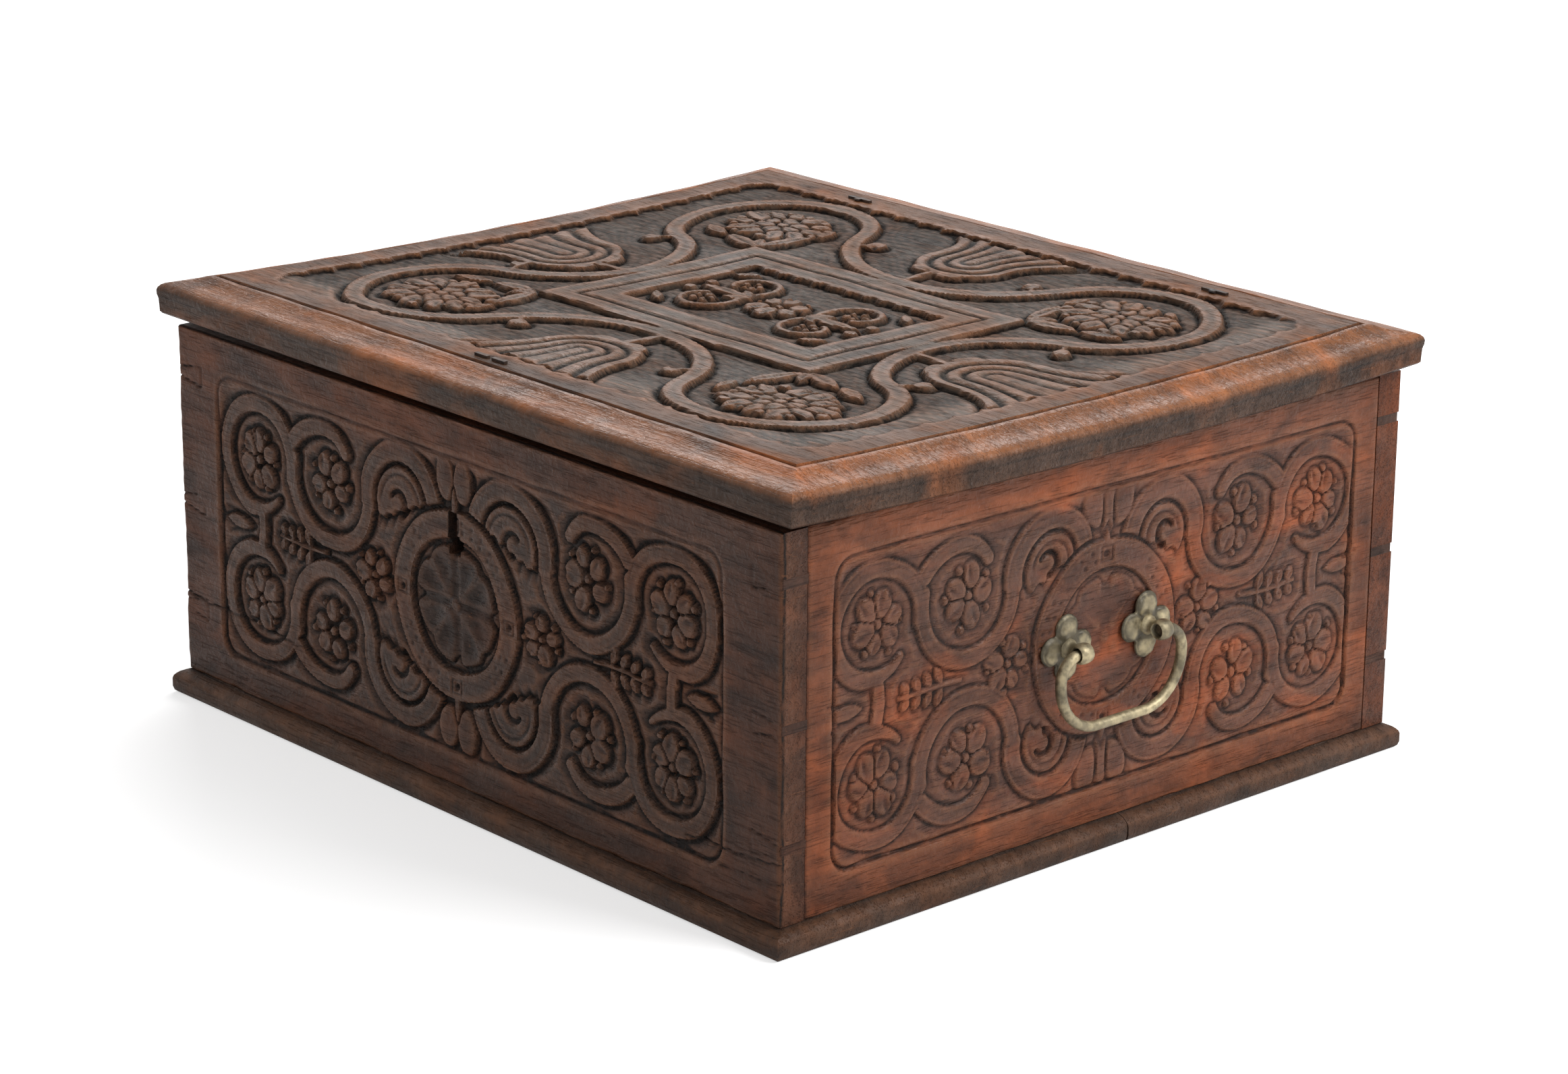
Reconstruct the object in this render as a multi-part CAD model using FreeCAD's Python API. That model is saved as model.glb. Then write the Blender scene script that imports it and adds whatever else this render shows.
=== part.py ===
import FreeCAD, Part
import math
import os

# Carved oak coffer, a small boarded chest: dovetailed carcass, moulded bottom boards, one-board lid
# on two linked cotter hinges, an iron lock inside the front and a brass bail handle on each end.
# Millimetres. Origin: centre of the footprint on the floor. +X right, -Y front, +Z up.

Vector = FreeCAD.Vector
X_AXIS = Vector(1, 0, 0)
Y_AXIS = Vector(0, 1, 0)
Z_AXIS = Vector(0, 0, 1)

# ---- Driving dimensions ----
# Carcass boards
carcass_width = 498.0
carcass_depth = 444.0
carcass_height = 200.0
front_thickness = 17.0
side_thickness = 21.0

# Dovetail pins on the end boards, three to a corner: places as shares of the carcass height
pin_places = (0.1975, 0.505, 0.8725)
pin_root_width = 12.0
pin_tip_width = 5.0

# Bottom boards
bottom_thickness = 14.0
bottom_projection = 7.0
bottom_seam_y = 14.0
bottom_seam_gap = 0.4
bottom_cove_width = 5.0
bottom_cove_drop = 8.5
bottom_cove_bulge = 0.62

# Lid
lid_thickness = 23.0
lid_overhang_side = 12.0
lid_overhang_front = 6.0
lid_overhang_back = 5.0
lid_cup = 5.0
lid_seat_gap = 0.3
lid_fillet_setback = 3.0
lid_fillet_height = 10.5
lid_nose_height = 15.0
lid_nose_width = 4.5
lid_nose_wear_in = 0.3
lid_nose_wear_up = 0.7
lid_slope_height = 19.0
lid_moulding_width = 24.0
lid_slope_belly = 0.6
lid_quirk_depth = 1.6
lid_quirk_width = 2.0
lid_quirk_step = 0.3

# Carved fields: a sunk ground with the main forms left standing at board height
ground_depth = 2.0
front_field_margin = 39.5
front_field_shift = -3.5
end_field_margin = 34.0
field_margin_bottom = 19.0
field_margin_top = 20.0
field_corner_radius = 12.0
roundel_outer_radius = 52.0
roundel_band = 16.0

# Front's vine, drawn about the roundel's centre for the upper right quarter: an arch runs from the
# roundel into the first curl, which runs into the second; each curl goes round a rose
vine_band = 11.0
vine_arch_radius = 34.5
first_curl_across = 108.0
first_curl_up = 41.5
first_curl_radius = 38.5
first_curl_turns = (180.0, 488.0)
second_curl_across = 172.5
second_curl_up = 40.5
second_curl_radius = 36.5
second_curl_turns = (-128.0, 190.0)
rose_radius = 15.5
rose_petals = 5
rose_notch = 0.74
side_rose_across = 71.5
side_rose_radius = 14.0
heart_reach = 21.0
heart_radius = 13.2
heart_hub_radius = 12.0

# Lid carving: a closed band of four lobes round a bare framed panel
lid_field_margin = 46.0
lobe_centre_x = 134.0
lobe_centre_y = 115.0
lobe_radius = 57.0
lid_band = 13.0
frame_half_length = 108.0
frame_half_width = 79.0
frame_border = 33.0
waist_overlap = 3.0
lobe_rose_radius = 28.0
middle_rose_radius = 20.0
middle_leaf_outline = ((12.0, 0.0), (32.0, 6.5), (48.0, 6.0), (63.0, 0.0))
tulip_overlap = 1.0
tulip_outline = ((0.0, 89.0), (8.0, 80.0), (15.0, 88.0), (22.0, 78.0), (37.0, 85.0), (28.0, 64.0),
                 (24.0, 46.0), (23.0, 28.0), (16.0, 15.0), (5.0, 9.0), (3.0, 0.0))

# Keyhole and lock
keyhole_x = -4.0
keyhole_drop = 50.0
keyhole_length = 22.0
keyhole_width = 6.5
keyhole_foot_width = 9.0
keyhole_foot_length = 9.0
lock_plate_width = 96.0
lock_plate_height = 72.0
lock_plate_thickness = 2.0
lock_plate_drop = 2.0
lock_case_width = 74.0
lock_case_height = 50.0
lock_case_depth = 15.0
lock_case_wall = 1.5
lock_case_drop = 19.5
lock_flange_width = 8.0
lock_mouth_clearance = 1.5
bolt_thickness = 4.0
bolt_bar_height = 7.0
bolt_nose_height = 8.0
bolt_riser_width = 8.0
bolt_travel = 9.0
bolt_clearance = 0.2
bolt_end_clearance = 3.0
bolt_above_key = 3.0
bolt_notch_width = 8.0
bolt_notch_depth = 4.0
guide_length = 4.0
guide_wall = 1.6
guide_lip = 1.1
guide_spacing = 23.0
spring_thickness = 0.8
spring_rise = 15.0
spring_guide_gap = 1.8
spring_sag = 3.0
stud_width = 2.5
stud_height = 5.0

# Lid staple that drops into the lock
staple_thickness = 4.0
staple_width = 10.0
staple_wall = 2.2
staple_side_gap = 2.5
staple_bolt_gap = 1.5
staple_eye_gap = 1.0
staple_flange_length = 26.0
staple_flange_thickness = 2.5

# Linked cotter hinges
hinge_x = 142.0
hinge_axis_behind = 5.5
hinge_axis_below_rim = 8.0
hinge_wire_radius = 1.9
hinge_eye_clearance = 0.06
hinge_eye_wall = 2.4
hinge_eye_width = 4.0
hinge_staple_span = 13.0
cotter_leg_width = 2.4
cotter_clench_length = 9.0
cotter_clench_thickness = 1.6
cotter_knee = 6.0
cotter_reach = 37.0

# End handles
handle_height = 100.0
post_spacing = 58.0
handle_stand_off = 12.0
plate_thickness = 2.6
plate_lobe_radius = 7.5
plate_lobe_reach = 10.5
plate_hub_radius = 8.0
post_head_radius = 6.4
post_head_length = 8.0
post_chamfer = 1.0
post_neck_radius = 3.6
post_shank_radius = 2.4
post_rivet_radius = 5.0
post_rivet_thickness = 1.8
bail_rod_radius = 3.1
bail_pin_radius = 2.7
bail_pin_clearance = 0.07
bail_pin_tip = 1.5
bail_shoulder_gap = 0.8
bail_shoulder_straight = 0.5
bail_drop = 41.0
bail_half_width = 44.0
bail_shoulder_radius = 8.0
bail_corner_radius = 20.0

# Nails
nail_shank = 3.0
nail_head = 7.0
nail_head_thickness = 1.5
bottom_nail_length = 38.0
lock_nail_length = 14.0
lock_nail_inset = 6.0
long_side_nail_shares = (-0.8, -0.27, 0.27, 0.8)
short_side_nail_shares = (-0.55, 0.55)

# ---- Derived places ----
half_width = carcass_width / 2
half_depth = carcass_depth / 2
inner_half_width = half_width - side_thickness
inner_half_depth = half_depth - front_thickness
carcass_bottom = bottom_thickness
rim = carcass_bottom + carcass_height
field_low = carcass_bottom + field_margin_bottom
field_high = rim - field_margin_top
field_middle = (field_low + field_high) / 2
keyhole_top = rim - keyhole_drop
lid_half_width = half_width + lid_overhang_side
lid_front = -half_depth - lid_overhang_front
lid_back = half_depth + lid_overhang_back
lid_depth = lid_back - lid_front
lid_middle_y = (lid_back + lid_front) / 2
lid_underside = rim + lid_seat_gap
lid_half_depth = lid_depth / 2
lid_bend_radius = (lid_half_depth ** 2 + lid_cup ** 2) / (2 * lid_cup)
lid_bend_angle = math.degrees(math.asin(lid_half_depth / lid_bend_radius))
lid_bend_centre = Vector(0, lid_middle_y, lid_underside + lid_bend_radius)
plenty = 60.0
overrun = 1.0
lid_bend_overrun = 0.5


def box(x_range, y_range, z_range):
    """A box between two limits on each axis."""
    corner = Vector(x_range[0], y_range[0], z_range[0])
    size_x = x_range[1] - x_range[0]
    size_y = y_range[1] - y_range[0]
    size_z = z_range[1] - z_range[0]
    return Part.makeBox(size_x, size_y, size_z, corner)


def prism(points, direction):
    """A prism: the closed polygon through the points, pushed along the direction."""
    outline = Part.makePolygon(list(points) + [points[0]])
    return Part.Face(outline).extrude(direction)


def turned_about_z(shape):
    """The same shape turned half a turn about the vertical through the origin."""
    turned = shape.copy()
    turned.rotate(Vector(0, 0, 0), Z_AXIS, 180)
    return turned


def mirrored_in_x(shape):
    """The mirror image on the other side of the chest's middle plane."""
    return shape.mirror(Vector(0, 0, 0), X_AXIS)


def mirrored_in_y(shape):
    """The mirror image, front to back."""
    return shape.mirror(Vector(0, 0, 0), Y_AXIS)


def export(name, shape):
    """Write one node."""
    shape.exportStep(os.path.join("parts", name + ".step"))


# ---- Nails: square hand-made shank, square head ----
def nail(tip_length):
    """A nail with its head's top face at the origin and its shank along +Z."""
    half_head = nail_head / 2
    half_shank = nail_shank / 2
    head = box((-half_head, half_head), (-half_head, half_head), (0, nail_head_thickness))
    shank_range = (-half_shank, half_shank)
    shank = box(shank_range, shank_range, (nail_head_thickness, tip_length))
    return head.fuse(shank).removeSplitter()


def bottom_nail_places():
    """Nail places under the middle of each carcass board's lower edge."""
    front_y = half_depth - front_thickness / 2
    side_x = half_width - side_thickness / 2
    places = []
    for share in long_side_nail_shares:
        places.append((share * inner_half_width, -front_y))
        places.append((share * inner_half_width, front_y))
    for side in (-1, 1):
        for share in short_side_nail_shares:
            places.append((side * side_x, share * inner_half_depth))
    return places


def make_bottom_nails():
    """Nails driven up through the bottom boards, heads flush underneath."""
    nails = []
    for x, y in bottom_nail_places():
        one = nail(bottom_nail_length)
        one.translate(Vector(x, y, 0))
        nails.append(one)
    return nails


# ---- Carcass ----
def dovetail_pins():
    """The right front corner's pins, long enough to pass through the front board."""
    pins = []
    for place in pin_places:
        z = carcass_bottom + place * carcass_height
        root = pin_root_width / 2
        tip = pin_tip_width / 2
        points = [
            Vector(inner_half_width, -half_depth, z - root),
            Vector(half_width, -half_depth, z - tip),
            Vector(half_width, -half_depth, z + tip),
            Vector(inner_half_width, -half_depth, z + root),
        ]
        pins.append(prism(points, Vector(0, front_thickness, 0)))
    return pins


def all_corner_pins():
    """Pins of the four corners: right front, left front, right back, left back."""
    right_front = dovetail_pins()
    left_front = [mirrored_in_x(pin) for pin in right_front]
    right_back = [mirrored_in_y(pin) for pin in right_front]
    left_back = [mirrored_in_y(pin) for pin in left_front]
    return right_front, left_front, right_back, left_back


def rounded_face(half_length, low, high, radius):
    """A face in the XZ plane at Y = 0: a rectangle with rounded corners."""
    slab = box((-half_length, half_length), (0, 1), (low, high))
    upright = [edge for edge in slab.Edges if abs(edge.tangentAt(edge.FirstParameter).y) > 0.9]
    rounded = slab.makeFillet(radius, upright)
    for face in rounded.Faces:
        if abs(face.normalAt(0, 0).y + 1) < 1e-6:
            return face
    raise ValueError("no front face on the rounded slab")


def on_circle(centre, radius, degrees):
    """A point on a circle in the XZ plane, counted from +X towards +Z."""
    turn = math.radians(degrees)
    return centre + Vector(radius * math.cos(turn), 0, radius * math.sin(turn))


def ring_stretch(centre, outer_radius, band, turns, depth):
    """Part of a flat ring, from its first turn to its second, standing depth deep behind Y = 0."""
    start, end = turns
    middle = (start + end) / 2
    arcs = []
    for radius in (outer_radius, outer_radius - band):
        points = [on_circle(centre, radius, turn) for turn in (start, middle, end)]
        arcs.append(Part.Arc(*points).toShape())
    outer, inner = arcs
    ends = []
    for turn in (end, start):
        outer_corner = on_circle(centre, outer_radius, turn)
        inner_corner = on_circle(centre, outer_radius - band, turn)
        ends.append(Part.makeLine(outer_corner, inner_corner))
    return Part.Face(Part.Wire([outer, ends[0], inner, ends[1]])).extrude(Vector(0, depth, 0))


def full_ring(centre, outer_radius, band, depth):
    """A whole flat ring behind Y = 0."""
    outer = Part.makeCylinder(outer_radius, depth, centre, Y_AXIS)
    inner = Part.makeCylinder(outer_radius - band, depth, centre, Y_AXIS)
    return outer.cut(inner)


def disc(across, up, radius, depth):
    """A round boss whose face stands at Y = 0, placed in the XZ plane."""
    return Part.makeCylinder(radius, depth, Vector(across, 0, up), Y_AXIS)


def rose(across, up, radius, depth):
    """A rose with straight-cut petals, drawn as a star with blunt notches."""
    outline = []
    for k in range(2 * rose_petals):
        reach = radius if k % 2 == 0 else radius * rose_notch
        turn = math.pi * k / rose_petals
        outline.append((across + reach * math.cos(turn), up + reach * math.sin(turn)))
    return cut_out(outline, depth)


def cut_out(outline, depth):
    """A flat form with straight edges, drawn in the XZ plane, standing depth deep behind Y = 0."""
    corners = [Vector(across, 0, up) for across, up in outline]
    return Part.Face(Part.makePolygon(corners + corners[:1])).extrude(Vector(0, depth, 0))


def carved_ground(half_length, forms=()):
    """What the carver takes out of a board whose outer face is Y = 0, outward -Y.

    The ground is sunk inside a rounded rectangle, and the middle roundel's band stands in it, with any
    other forms.
    """
    field = rounded_face(half_length, field_low, field_high, field_corner_radius)
    ground = field.extrude(Vector(0, ground_depth, 0))
    centre = Vector(0, 0, field_middle)
    roundel = full_ring(centre, roundel_outer_radius, roundel_band, ground_depth)
    return ground.cut([roundel, *forms])


def vine_quarter():
    """The front's vine and roses in the upper right quarter."""
    half_band = vine_band / 2
    first_middle = first_curl_radius - half_band
    arch_middle = vine_arch_radius - half_band
    first = Vector(first_curl_across, 0, field_middle + first_curl_up)
    second = Vector(second_curl_across, 0, field_middle + second_curl_up)
    arch = Vector(first_curl_across - first_middle - arch_middle, 0, first.z)
    vine = ring_stretch(arch, vine_arch_radius, vine_band, (0, 180), ground_depth).fuse([
        ring_stretch(first, first_curl_radius, vine_band, first_curl_turns, ground_depth),
        ring_stretch(second, second_curl_radius, vine_band, second_curl_turns, ground_depth),
    ])
    return [
        vine.removeSplitter(),
        rose(first.x, first.z, rose_radius, ground_depth),
        rose(second.x, second.z, rose_radius, ground_depth),
    ]


def front_forms():
    """What stands in the front's field besides the roundel's band."""
    right = []
    for form in vine_quarter():
        right.append(form)
        right.append(form.mirror(Vector(0, 0, field_middle), Z_AXIS))
    right.append(rose(side_rose_across, field_middle, side_rose_radius, ground_depth))
    forms = right + [mirrored_in_x(form) for form in right]
    hub = disc(0, field_middle, heart_hub_radius, ground_depth)
    petals = []
    for across, up in ((1, 0), (0, 1), (-1, 0), (0, -1)):
        place = (heart_reach * across, field_middle + heart_reach * up)
        petals.append(disc(*place, heart_radius, ground_depth))
    forms.append(hub.fuse(petals).removeSplitter())
    return forms


def keyhole_cutter(y_range):
    """The keyhole: a slot with a wider foot, right through between two Y limits."""
    top = keyhole_top
    foot = top - keyhole_length
    half = keyhole_width / 2
    half_foot = keyhole_foot_width / 2
    shoulder = foot + keyhole_foot_length
    slot = box((keyhole_x - half, keyhole_x + half), y_range, (shoulder, top - half))
    start = Vector(keyhole_x, y_range[0], top - half)
    crown = Part.makeCylinder(half, y_range[1] - y_range[0], start, Y_AXIS)
    points = [
        Vector(keyhole_x - half_foot, y_range[0], foot),
        Vector(keyhole_x + half_foot, y_range[0], foot),
        Vector(keyhole_x + half, y_range[0], shoulder),
        Vector(keyhole_x - half, y_range[0], shoulder),
    ]
    flare = prism(points, Vector(0, y_range[1] - y_range[0], 0))
    return slot.fuse([crown, flare])


def make_front_board(pins, nails, fixings):
    """Front board with its dovetail sockets, sunk ground and keyhole."""
    board = box((-half_width, half_width), (-half_depth, -inner_half_depth), (carcass_bottom, rim))
    ground = carved_ground(half_width - front_field_margin, front_forms())
    ground.translate(Vector(front_field_shift, -half_depth, 0))
    board = board.cut(ground)
    board = board.cut(keyhole_cutter((-half_depth - overrun, -inner_half_depth + overrun)))
    return board.cut(pins + nails + fixings).removeSplitter()


def make_back_board(pins, nails, fixings):
    """Plain back board with its dovetail sockets."""
    board = box((-half_width, half_width), (inner_half_depth, half_depth), (carcass_bottom, rim))
    return board.cut(pins + nails + fixings).removeSplitter()


def make_right_board(pins, nails, fixings):
    """Right end board with its pins, sunk ground and handle holes."""
    board = box((inner_half_width, half_width), (-inner_half_depth, inner_half_depth), (carcass_bottom, rim))
    board = board.fuse(pins).removeSplitter()
    ground = carved_ground(half_depth - end_field_margin)
    ground.rotate(Vector(0, 0, 0), Z_AXIS, 90)
    ground.translate(Vector(half_width, 0, 0))
    return board.cut([ground] + nails + fixings).removeSplitter()


def cove_cutter(length):
    """Waste of the bottom boards' edge moulding, along X, edge at Y = 0, board towards +Y."""
    top = bottom_thickness
    step = Vector(0, bottom_cove_width, top)
    nose = Vector(0, 0, top - bottom_cove_drop)
    bulge = bottom_cove_bulge
    middle = Vector(0, bottom_cove_width * bulge, top - bottom_cove_drop * bulge)
    above_step = Vector(0, bottom_cove_width, top + overrun)
    above_edge = Vector(0, -overrun, top + overrun)
    beside_nose = Vector(0, -overrun, nose.z)
    outline = [
        Part.Arc(nose, middle, step).toShape(),
        Part.makeLine(step, above_step),
        Part.makeLine(above_step, above_edge),
        Part.makeLine(above_edge, beside_nose),
        Part.makeLine(beside_nose, nose),
    ]
    face = Part.Face(Part.Wire(outline))
    solid = face.extrude(Vector(length, 0, 0))
    solid.translate(Vector(-length / 2, 0, 0))
    return solid


def make_bottom_boards(nails):
    """The two bottom boards, front one and rear one, moulded on their outer edges."""
    reach_x = half_width + bottom_projection
    reach_y = half_depth + bottom_projection
    front_edge = cove_cutter(2 * reach_x + plenty)
    front_edge.translate(Vector(0, -reach_y, 0))
    side_edge = cove_cutter(2 * reach_y + plenty)
    side_edge.rotate(Vector(0, 0, 0), Z_AXIS, 90)
    side_edge.translate(Vector(reach_x, 0, 0))
    edges = [front_edge, turned_about_z(front_edge), side_edge, turned_about_z(side_edge)]
    half_gap = bottom_seam_gap / 2
    spans = ((-reach_y, bottom_seam_y - half_gap), (bottom_seam_y + half_gap, reach_y))
    boards = []
    for y_range in spans:
        board = box((-reach_x, reach_x), y_range, (0, bottom_thickness))
        boards.append(board.cut(edges + nails).removeSplitter())
    return boards


# ---- Lid ----
def lid_edge_waste():
    """Waste outside the lid's edge moulding, in the XZ plane, edge at X = 0, board towards -X.

    From the underside: a set-back fillet, a small nose, a long slope and the quirk that ends it.
    """
    top = lid_thickness
    half_quirk = lid_quirk_width / 2
    fillet_foot = Vector(-lid_fillet_setback, 0, -overrun)
    fillet_top = Vector(-lid_fillet_setback, 0, lid_fillet_height)
    nose_low = Vector(0, 0, lid_fillet_height)
    nose = Vector(0, 0, lid_nose_height)
    slope_foot = Vector(-lid_nose_width, 0, lid_slope_height)
    slope_top = Vector(half_quirk - lid_moulding_width, 0, top - lid_quirk_step)
    quirk_foot = Vector(-lid_moulding_width, 0, top - lid_quirk_depth)
    quirk_run = half_quirk * (lid_quirk_depth + overrun) / lid_quirk_depth
    quirk_clear = Vector(-lid_moulding_width - quirk_run, 0, top + overrun)
    worn_z = lid_nose_height + (lid_slope_height - lid_nose_height) * lid_nose_wear_up
    nose_middle = Vector(-lid_nose_width * lid_nose_wear_in, 0, worn_z)
    slope_middle = (slope_foot + slope_top) * 0.5 + Vector(0, 0, lid_slope_belly)
    outer_top = Vector(overrun, 0, top + overrun)
    outer_foot = Vector(overrun, 0, -overrun)
    edges = [
        Part.makeLine(fillet_foot, fillet_top),
        Part.makeLine(fillet_top, nose_low),
        Part.makeLine(nose_low, nose),
        Part.makeLine(nose, nose_middle),
        Part.makeLine(nose_middle, slope_foot),
        Part.Arc(slope_foot, slope_middle, slope_top).toShape(),
        Part.makeLine(slope_top, quirk_foot),
        Part.makeLine(quirk_foot, quirk_clear),
        Part.makeLine(quirk_clear, outer_top),
        Part.makeLine(outer_top, outer_foot),
        Part.makeLine(outer_foot, fillet_foot),
    ]
    return Part.Face(Part.Wire(edges))


def bent_end_waste(face):
    """The profile carried along the right end, following the cupped board."""
    start = face.copy()
    start.translate(Vector(lid_half_width, lid_middle_y, lid_underside))
    sweep = lid_bend_angle + lid_bend_overrun
    start.rotate(lid_bend_centre, X_AXIS, -sweep)
    return start.revolve(lid_bend_centre, X_AXIS, 2 * sweep)


def bent_front_waste(face):
    """The profile carried along the front edge, tilted as the cupped board is there."""
    start = face.copy()
    start.rotate(Vector(0, 0, 0), Z_AXIS, -90)
    length = 2 * lid_half_width + plenty
    solid = start.extrude(Vector(length, 0, 0))
    solid.translate(Vector(-length / 2, lid_middle_y, lid_underside))
    solid.rotate(lid_bend_centre, X_AXIS, -lid_bend_angle)
    return solid


def mirrored_in_lid(shape):
    """The mirror image, front to back, in the lid's own middle."""
    return shape.mirror(Vector(0, lid_middle_y, 0), Y_AXIS)


def cupped_slab(low, high):
    """A slab of the cupped board between two heights above its underside."""
    radius_low = lid_bend_radius - low
    radius_high = lid_bend_radius - high
    angle = math.radians(lid_bend_angle)

    def at(radius, turn):
        y = lid_bend_centre.y + radius * math.sin(turn)
        z = lid_bend_centre.z - radius * math.cos(turn)
        return Vector(-lid_half_width, y, z)

    lower = Part.Arc(at(radius_low, -angle), at(radius_low, 0), at(radius_low, angle)).toShape()
    upper = Part.Arc(at(radius_high, -angle), at(radius_high, 0), at(radius_high, angle)).toShape()
    front = Part.makeLine(at(radius_low, -angle), at(radius_high, -angle))
    back = Part.makeLine(at(radius_low, angle), at(radius_high, angle))
    face = Part.Face(Part.Wire([lower, back, upper, front]))
    return face.extrude(Vector(2 * lid_half_width, 0, 0))


def waist_radius(lobe_along, lobe_across, line_across):
    """Radius of the waist that touches two lobes and comes down to a line between them."""
    rise = line_across - lobe_across
    return (lobe_along ** 2 + rise ** 2 - lobe_radius ** 2) / (2 * (lobe_radius - rise))


def lobed_band():
    """The closed band on the lid, in the XZ plane: four lobes joined by four waists."""
    half_band = lid_band / 2
    line_z = frame_half_width + half_band - waist_overlap
    line_x = frame_half_length + half_band - waist_overlap
    long_waist = waist_radius(lobe_centre_x, lobe_centre_y, line_z)
    short_waist = waist_radius(lobe_centre_y, lobe_centre_x, line_x)
    long_turn = math.degrees(math.atan2(line_z + long_waist - lobe_centre_y, lobe_centre_x))
    short_turn = math.degrees(math.atan2(line_x + short_waist - lobe_centre_x, lobe_centre_y))
    lobe = ring_stretch(
        Vector(lobe_centre_x, 0, lobe_centre_y),
        lobe_radius + half_band,
        lid_band,
        (-90 + short_turn, 180 - long_turn),
        plenty,
    )
    top_waist = ring_stretch(
        Vector(0, 0, line_z + long_waist),
        long_waist + half_band,
        lid_band,
        (-180 + long_turn, -long_turn),
        plenty,
    )
    side_waist = ring_stretch(
        Vector(line_x + short_waist, 0, 0),
        short_waist + half_band,
        lid_band,
        (90 + short_turn, 270 - short_turn),
        plenty,
    )
    half = [lobe, mirrored_in_x(lobe), top_waist]
    band = half + [piece.mirror(Vector(0, 0, 0), Z_AXIS) for piece in half]
    return band + [side_waist, mirrored_in_x(side_waist)]


def lid_forms():
    """What stands in the lid's field, drawn in the XZ plane with the lid's middle at the origin."""
    forms = lobed_band()
    frame = box((-frame_half_length, frame_half_length), (0, plenty), (-frame_half_width, frame_half_width))
    panel_x = frame_half_length - frame_border
    panel_z = frame_half_width - frame_border
    forms.append(frame.cut(box((-panel_x, panel_x), (0, plenty), (-panel_z, panel_z))))
    for across in (-lobe_centre_x, lobe_centre_x):
        for up in (-lobe_centre_y, lobe_centre_y):
            forms.append(rose(across, up, lobe_rose_radius, plenty))
    return forms + tulips() + middle_ornament()


def tulips():
    """Four tulips that grow outwards from the band's waists."""
    left_half = [(-across, up) for across, up in tulip_outline[:0:-1]]
    upright = cut_out([*tulip_outline, *left_half], plenty)
    forms = []
    for quarter in range(4):
        frame_reach = frame_half_length if quarter % 2 else frame_half_width
        one = upright.copy()
        one.translate(Vector(0, 0, frame_reach + lid_band - waist_overlap - tulip_overlap))
        one.rotate(Vector(0, 0, 0), Y_AXIS, 90 * quarter)
        forms.append(one)
    return forms


def middle_ornament():
    """Plain ornament in the framed panel: a rose with a leaf on each side."""
    lower_edge = [(across, -up) for across, up in middle_leaf_outline[-2:0:-1]]
    leaf = cut_out([*middle_leaf_outline, *lower_edge], plenty)
    middle = rose(0, 0, middle_rose_radius, plenty)
    return [middle.fuse([leaf, mirrored_in_x(leaf)]).removeSplitter()]


def lid_ground():
    """The sunk ground on the lid: a rounded rectangle round the standing forms."""
    reach_x = lid_half_width - lid_field_margin
    reach_y = lid_half_depth - lid_field_margin
    z_range = (rim, rim + lid_thickness + plenty)
    field = box((-reach_x, reach_x), (-reach_y, reach_y), z_range)
    field = field.makeFillet(field_corner_radius, [e for e in field.Edges if abs(e.tangentAt(0).z) > 0.9])
    forms = []
    for form in lid_forms():
        form.rotate(Vector(0, 0, 0), X_AXIS, -90)
        form.translate(Vector(0, 0, rim + plenty))
        forms.append(form)
    field = field.cut(forms)
    field.translate(Vector(0, lid_middle_y, 0))
    return cupped_slab(lid_thickness - ground_depth, lid_thickness + overrun).common(field)


def make_lid_board(fixings):
    """The lid: one cupped board with a moulded edge and a sunk ground."""
    board = cupped_slab(0, lid_thickness)
    end = bent_end_waste(lid_edge_waste())
    front = bent_front_waste(lid_edge_waste())
    for cutter in (end, mirrored_in_x(end), front, mirrored_in_lid(front)):
        board = board.cut(cutter)
    board = board.cut(lid_ground())
    return board.cut(fixings).removeSplitter()


def lid_underside_at(y):
    """Height of the cupped lid's underside above the floor."""
    offset = y - lid_middle_y
    return lid_bend_centre.z - math.sqrt(lid_bend_radius ** 2 - offset ** 2)


def lid_top_at(y):
    """Height of the cupped lid's top above the floor."""
    offset = y - lid_middle_y
    return lid_bend_centre.z - math.sqrt((lid_bend_radius - lid_thickness) ** 2 - offset ** 2)


# ---- Cotter hinges ----
hinge_axis_y = half_depth + hinge_axis_behind
hinge_axis_z = rim - hinge_axis_below_rim
hinge_eye_inner = hinge_wire_radius + hinge_eye_clearance
hinge_eye_outer = hinge_eye_inner + hinge_eye_wall


def make_hinge_staple():
    """Staple in the back board: its round crown is the hinge pin, its square legs are clenched inside."""
    half_span = hinge_staple_span / 2
    radius = hinge_wire_radius
    crown_start = Vector(-half_span, hinge_axis_y, hinge_axis_z)
    crown = Part.makeCylinder(radius, hinge_staple_span, crown_start, X_AXIS)
    inside_y = inner_half_depth - cotter_clench_thickness
    leg_z = (hinge_axis_z - radius, hinge_axis_z + radius)
    pieces = []
    for side in (-1, 1):
        near = side * (half_span - radius)
        far = side * (half_span + radius)
        leg_x = (min(near, far), max(near, far))
        pieces.append(box(leg_x, (inside_y, hinge_axis_y + radius), leg_z))
        tip = side * (half_span + cotter_clench_length)
        clench_x = (min(near, tip), max(near, tip))
        pieces.append(box(clench_x, (inside_y, inner_half_depth), leg_z))
    staple = crown.fuse(pieces).removeSplitter()
    staple.translate(Vector(hinge_x, 0, 0))
    return staple


def offset_path(path, distance):
    """The open path in the YZ plane, moved sideways by a distance, with mitred knees."""
    directions = [path[i + 1].sub(path[i]).normalize() for i in range(len(path) - 1)]
    normals = [Vector(0, -step.z, step.y) for step in directions]
    moved = [path[0] + normals[0] * distance]
    for index in range(1, len(path) - 1):
        bisector = (normals[index - 1] + normals[index]).normalize()
        stretch = distance / bisector.dot(normals[index])
        moved.append(path[index] + bisector * stretch)
    moved.append(path[-1] + normals[-1] * distance)
    return moved


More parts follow.
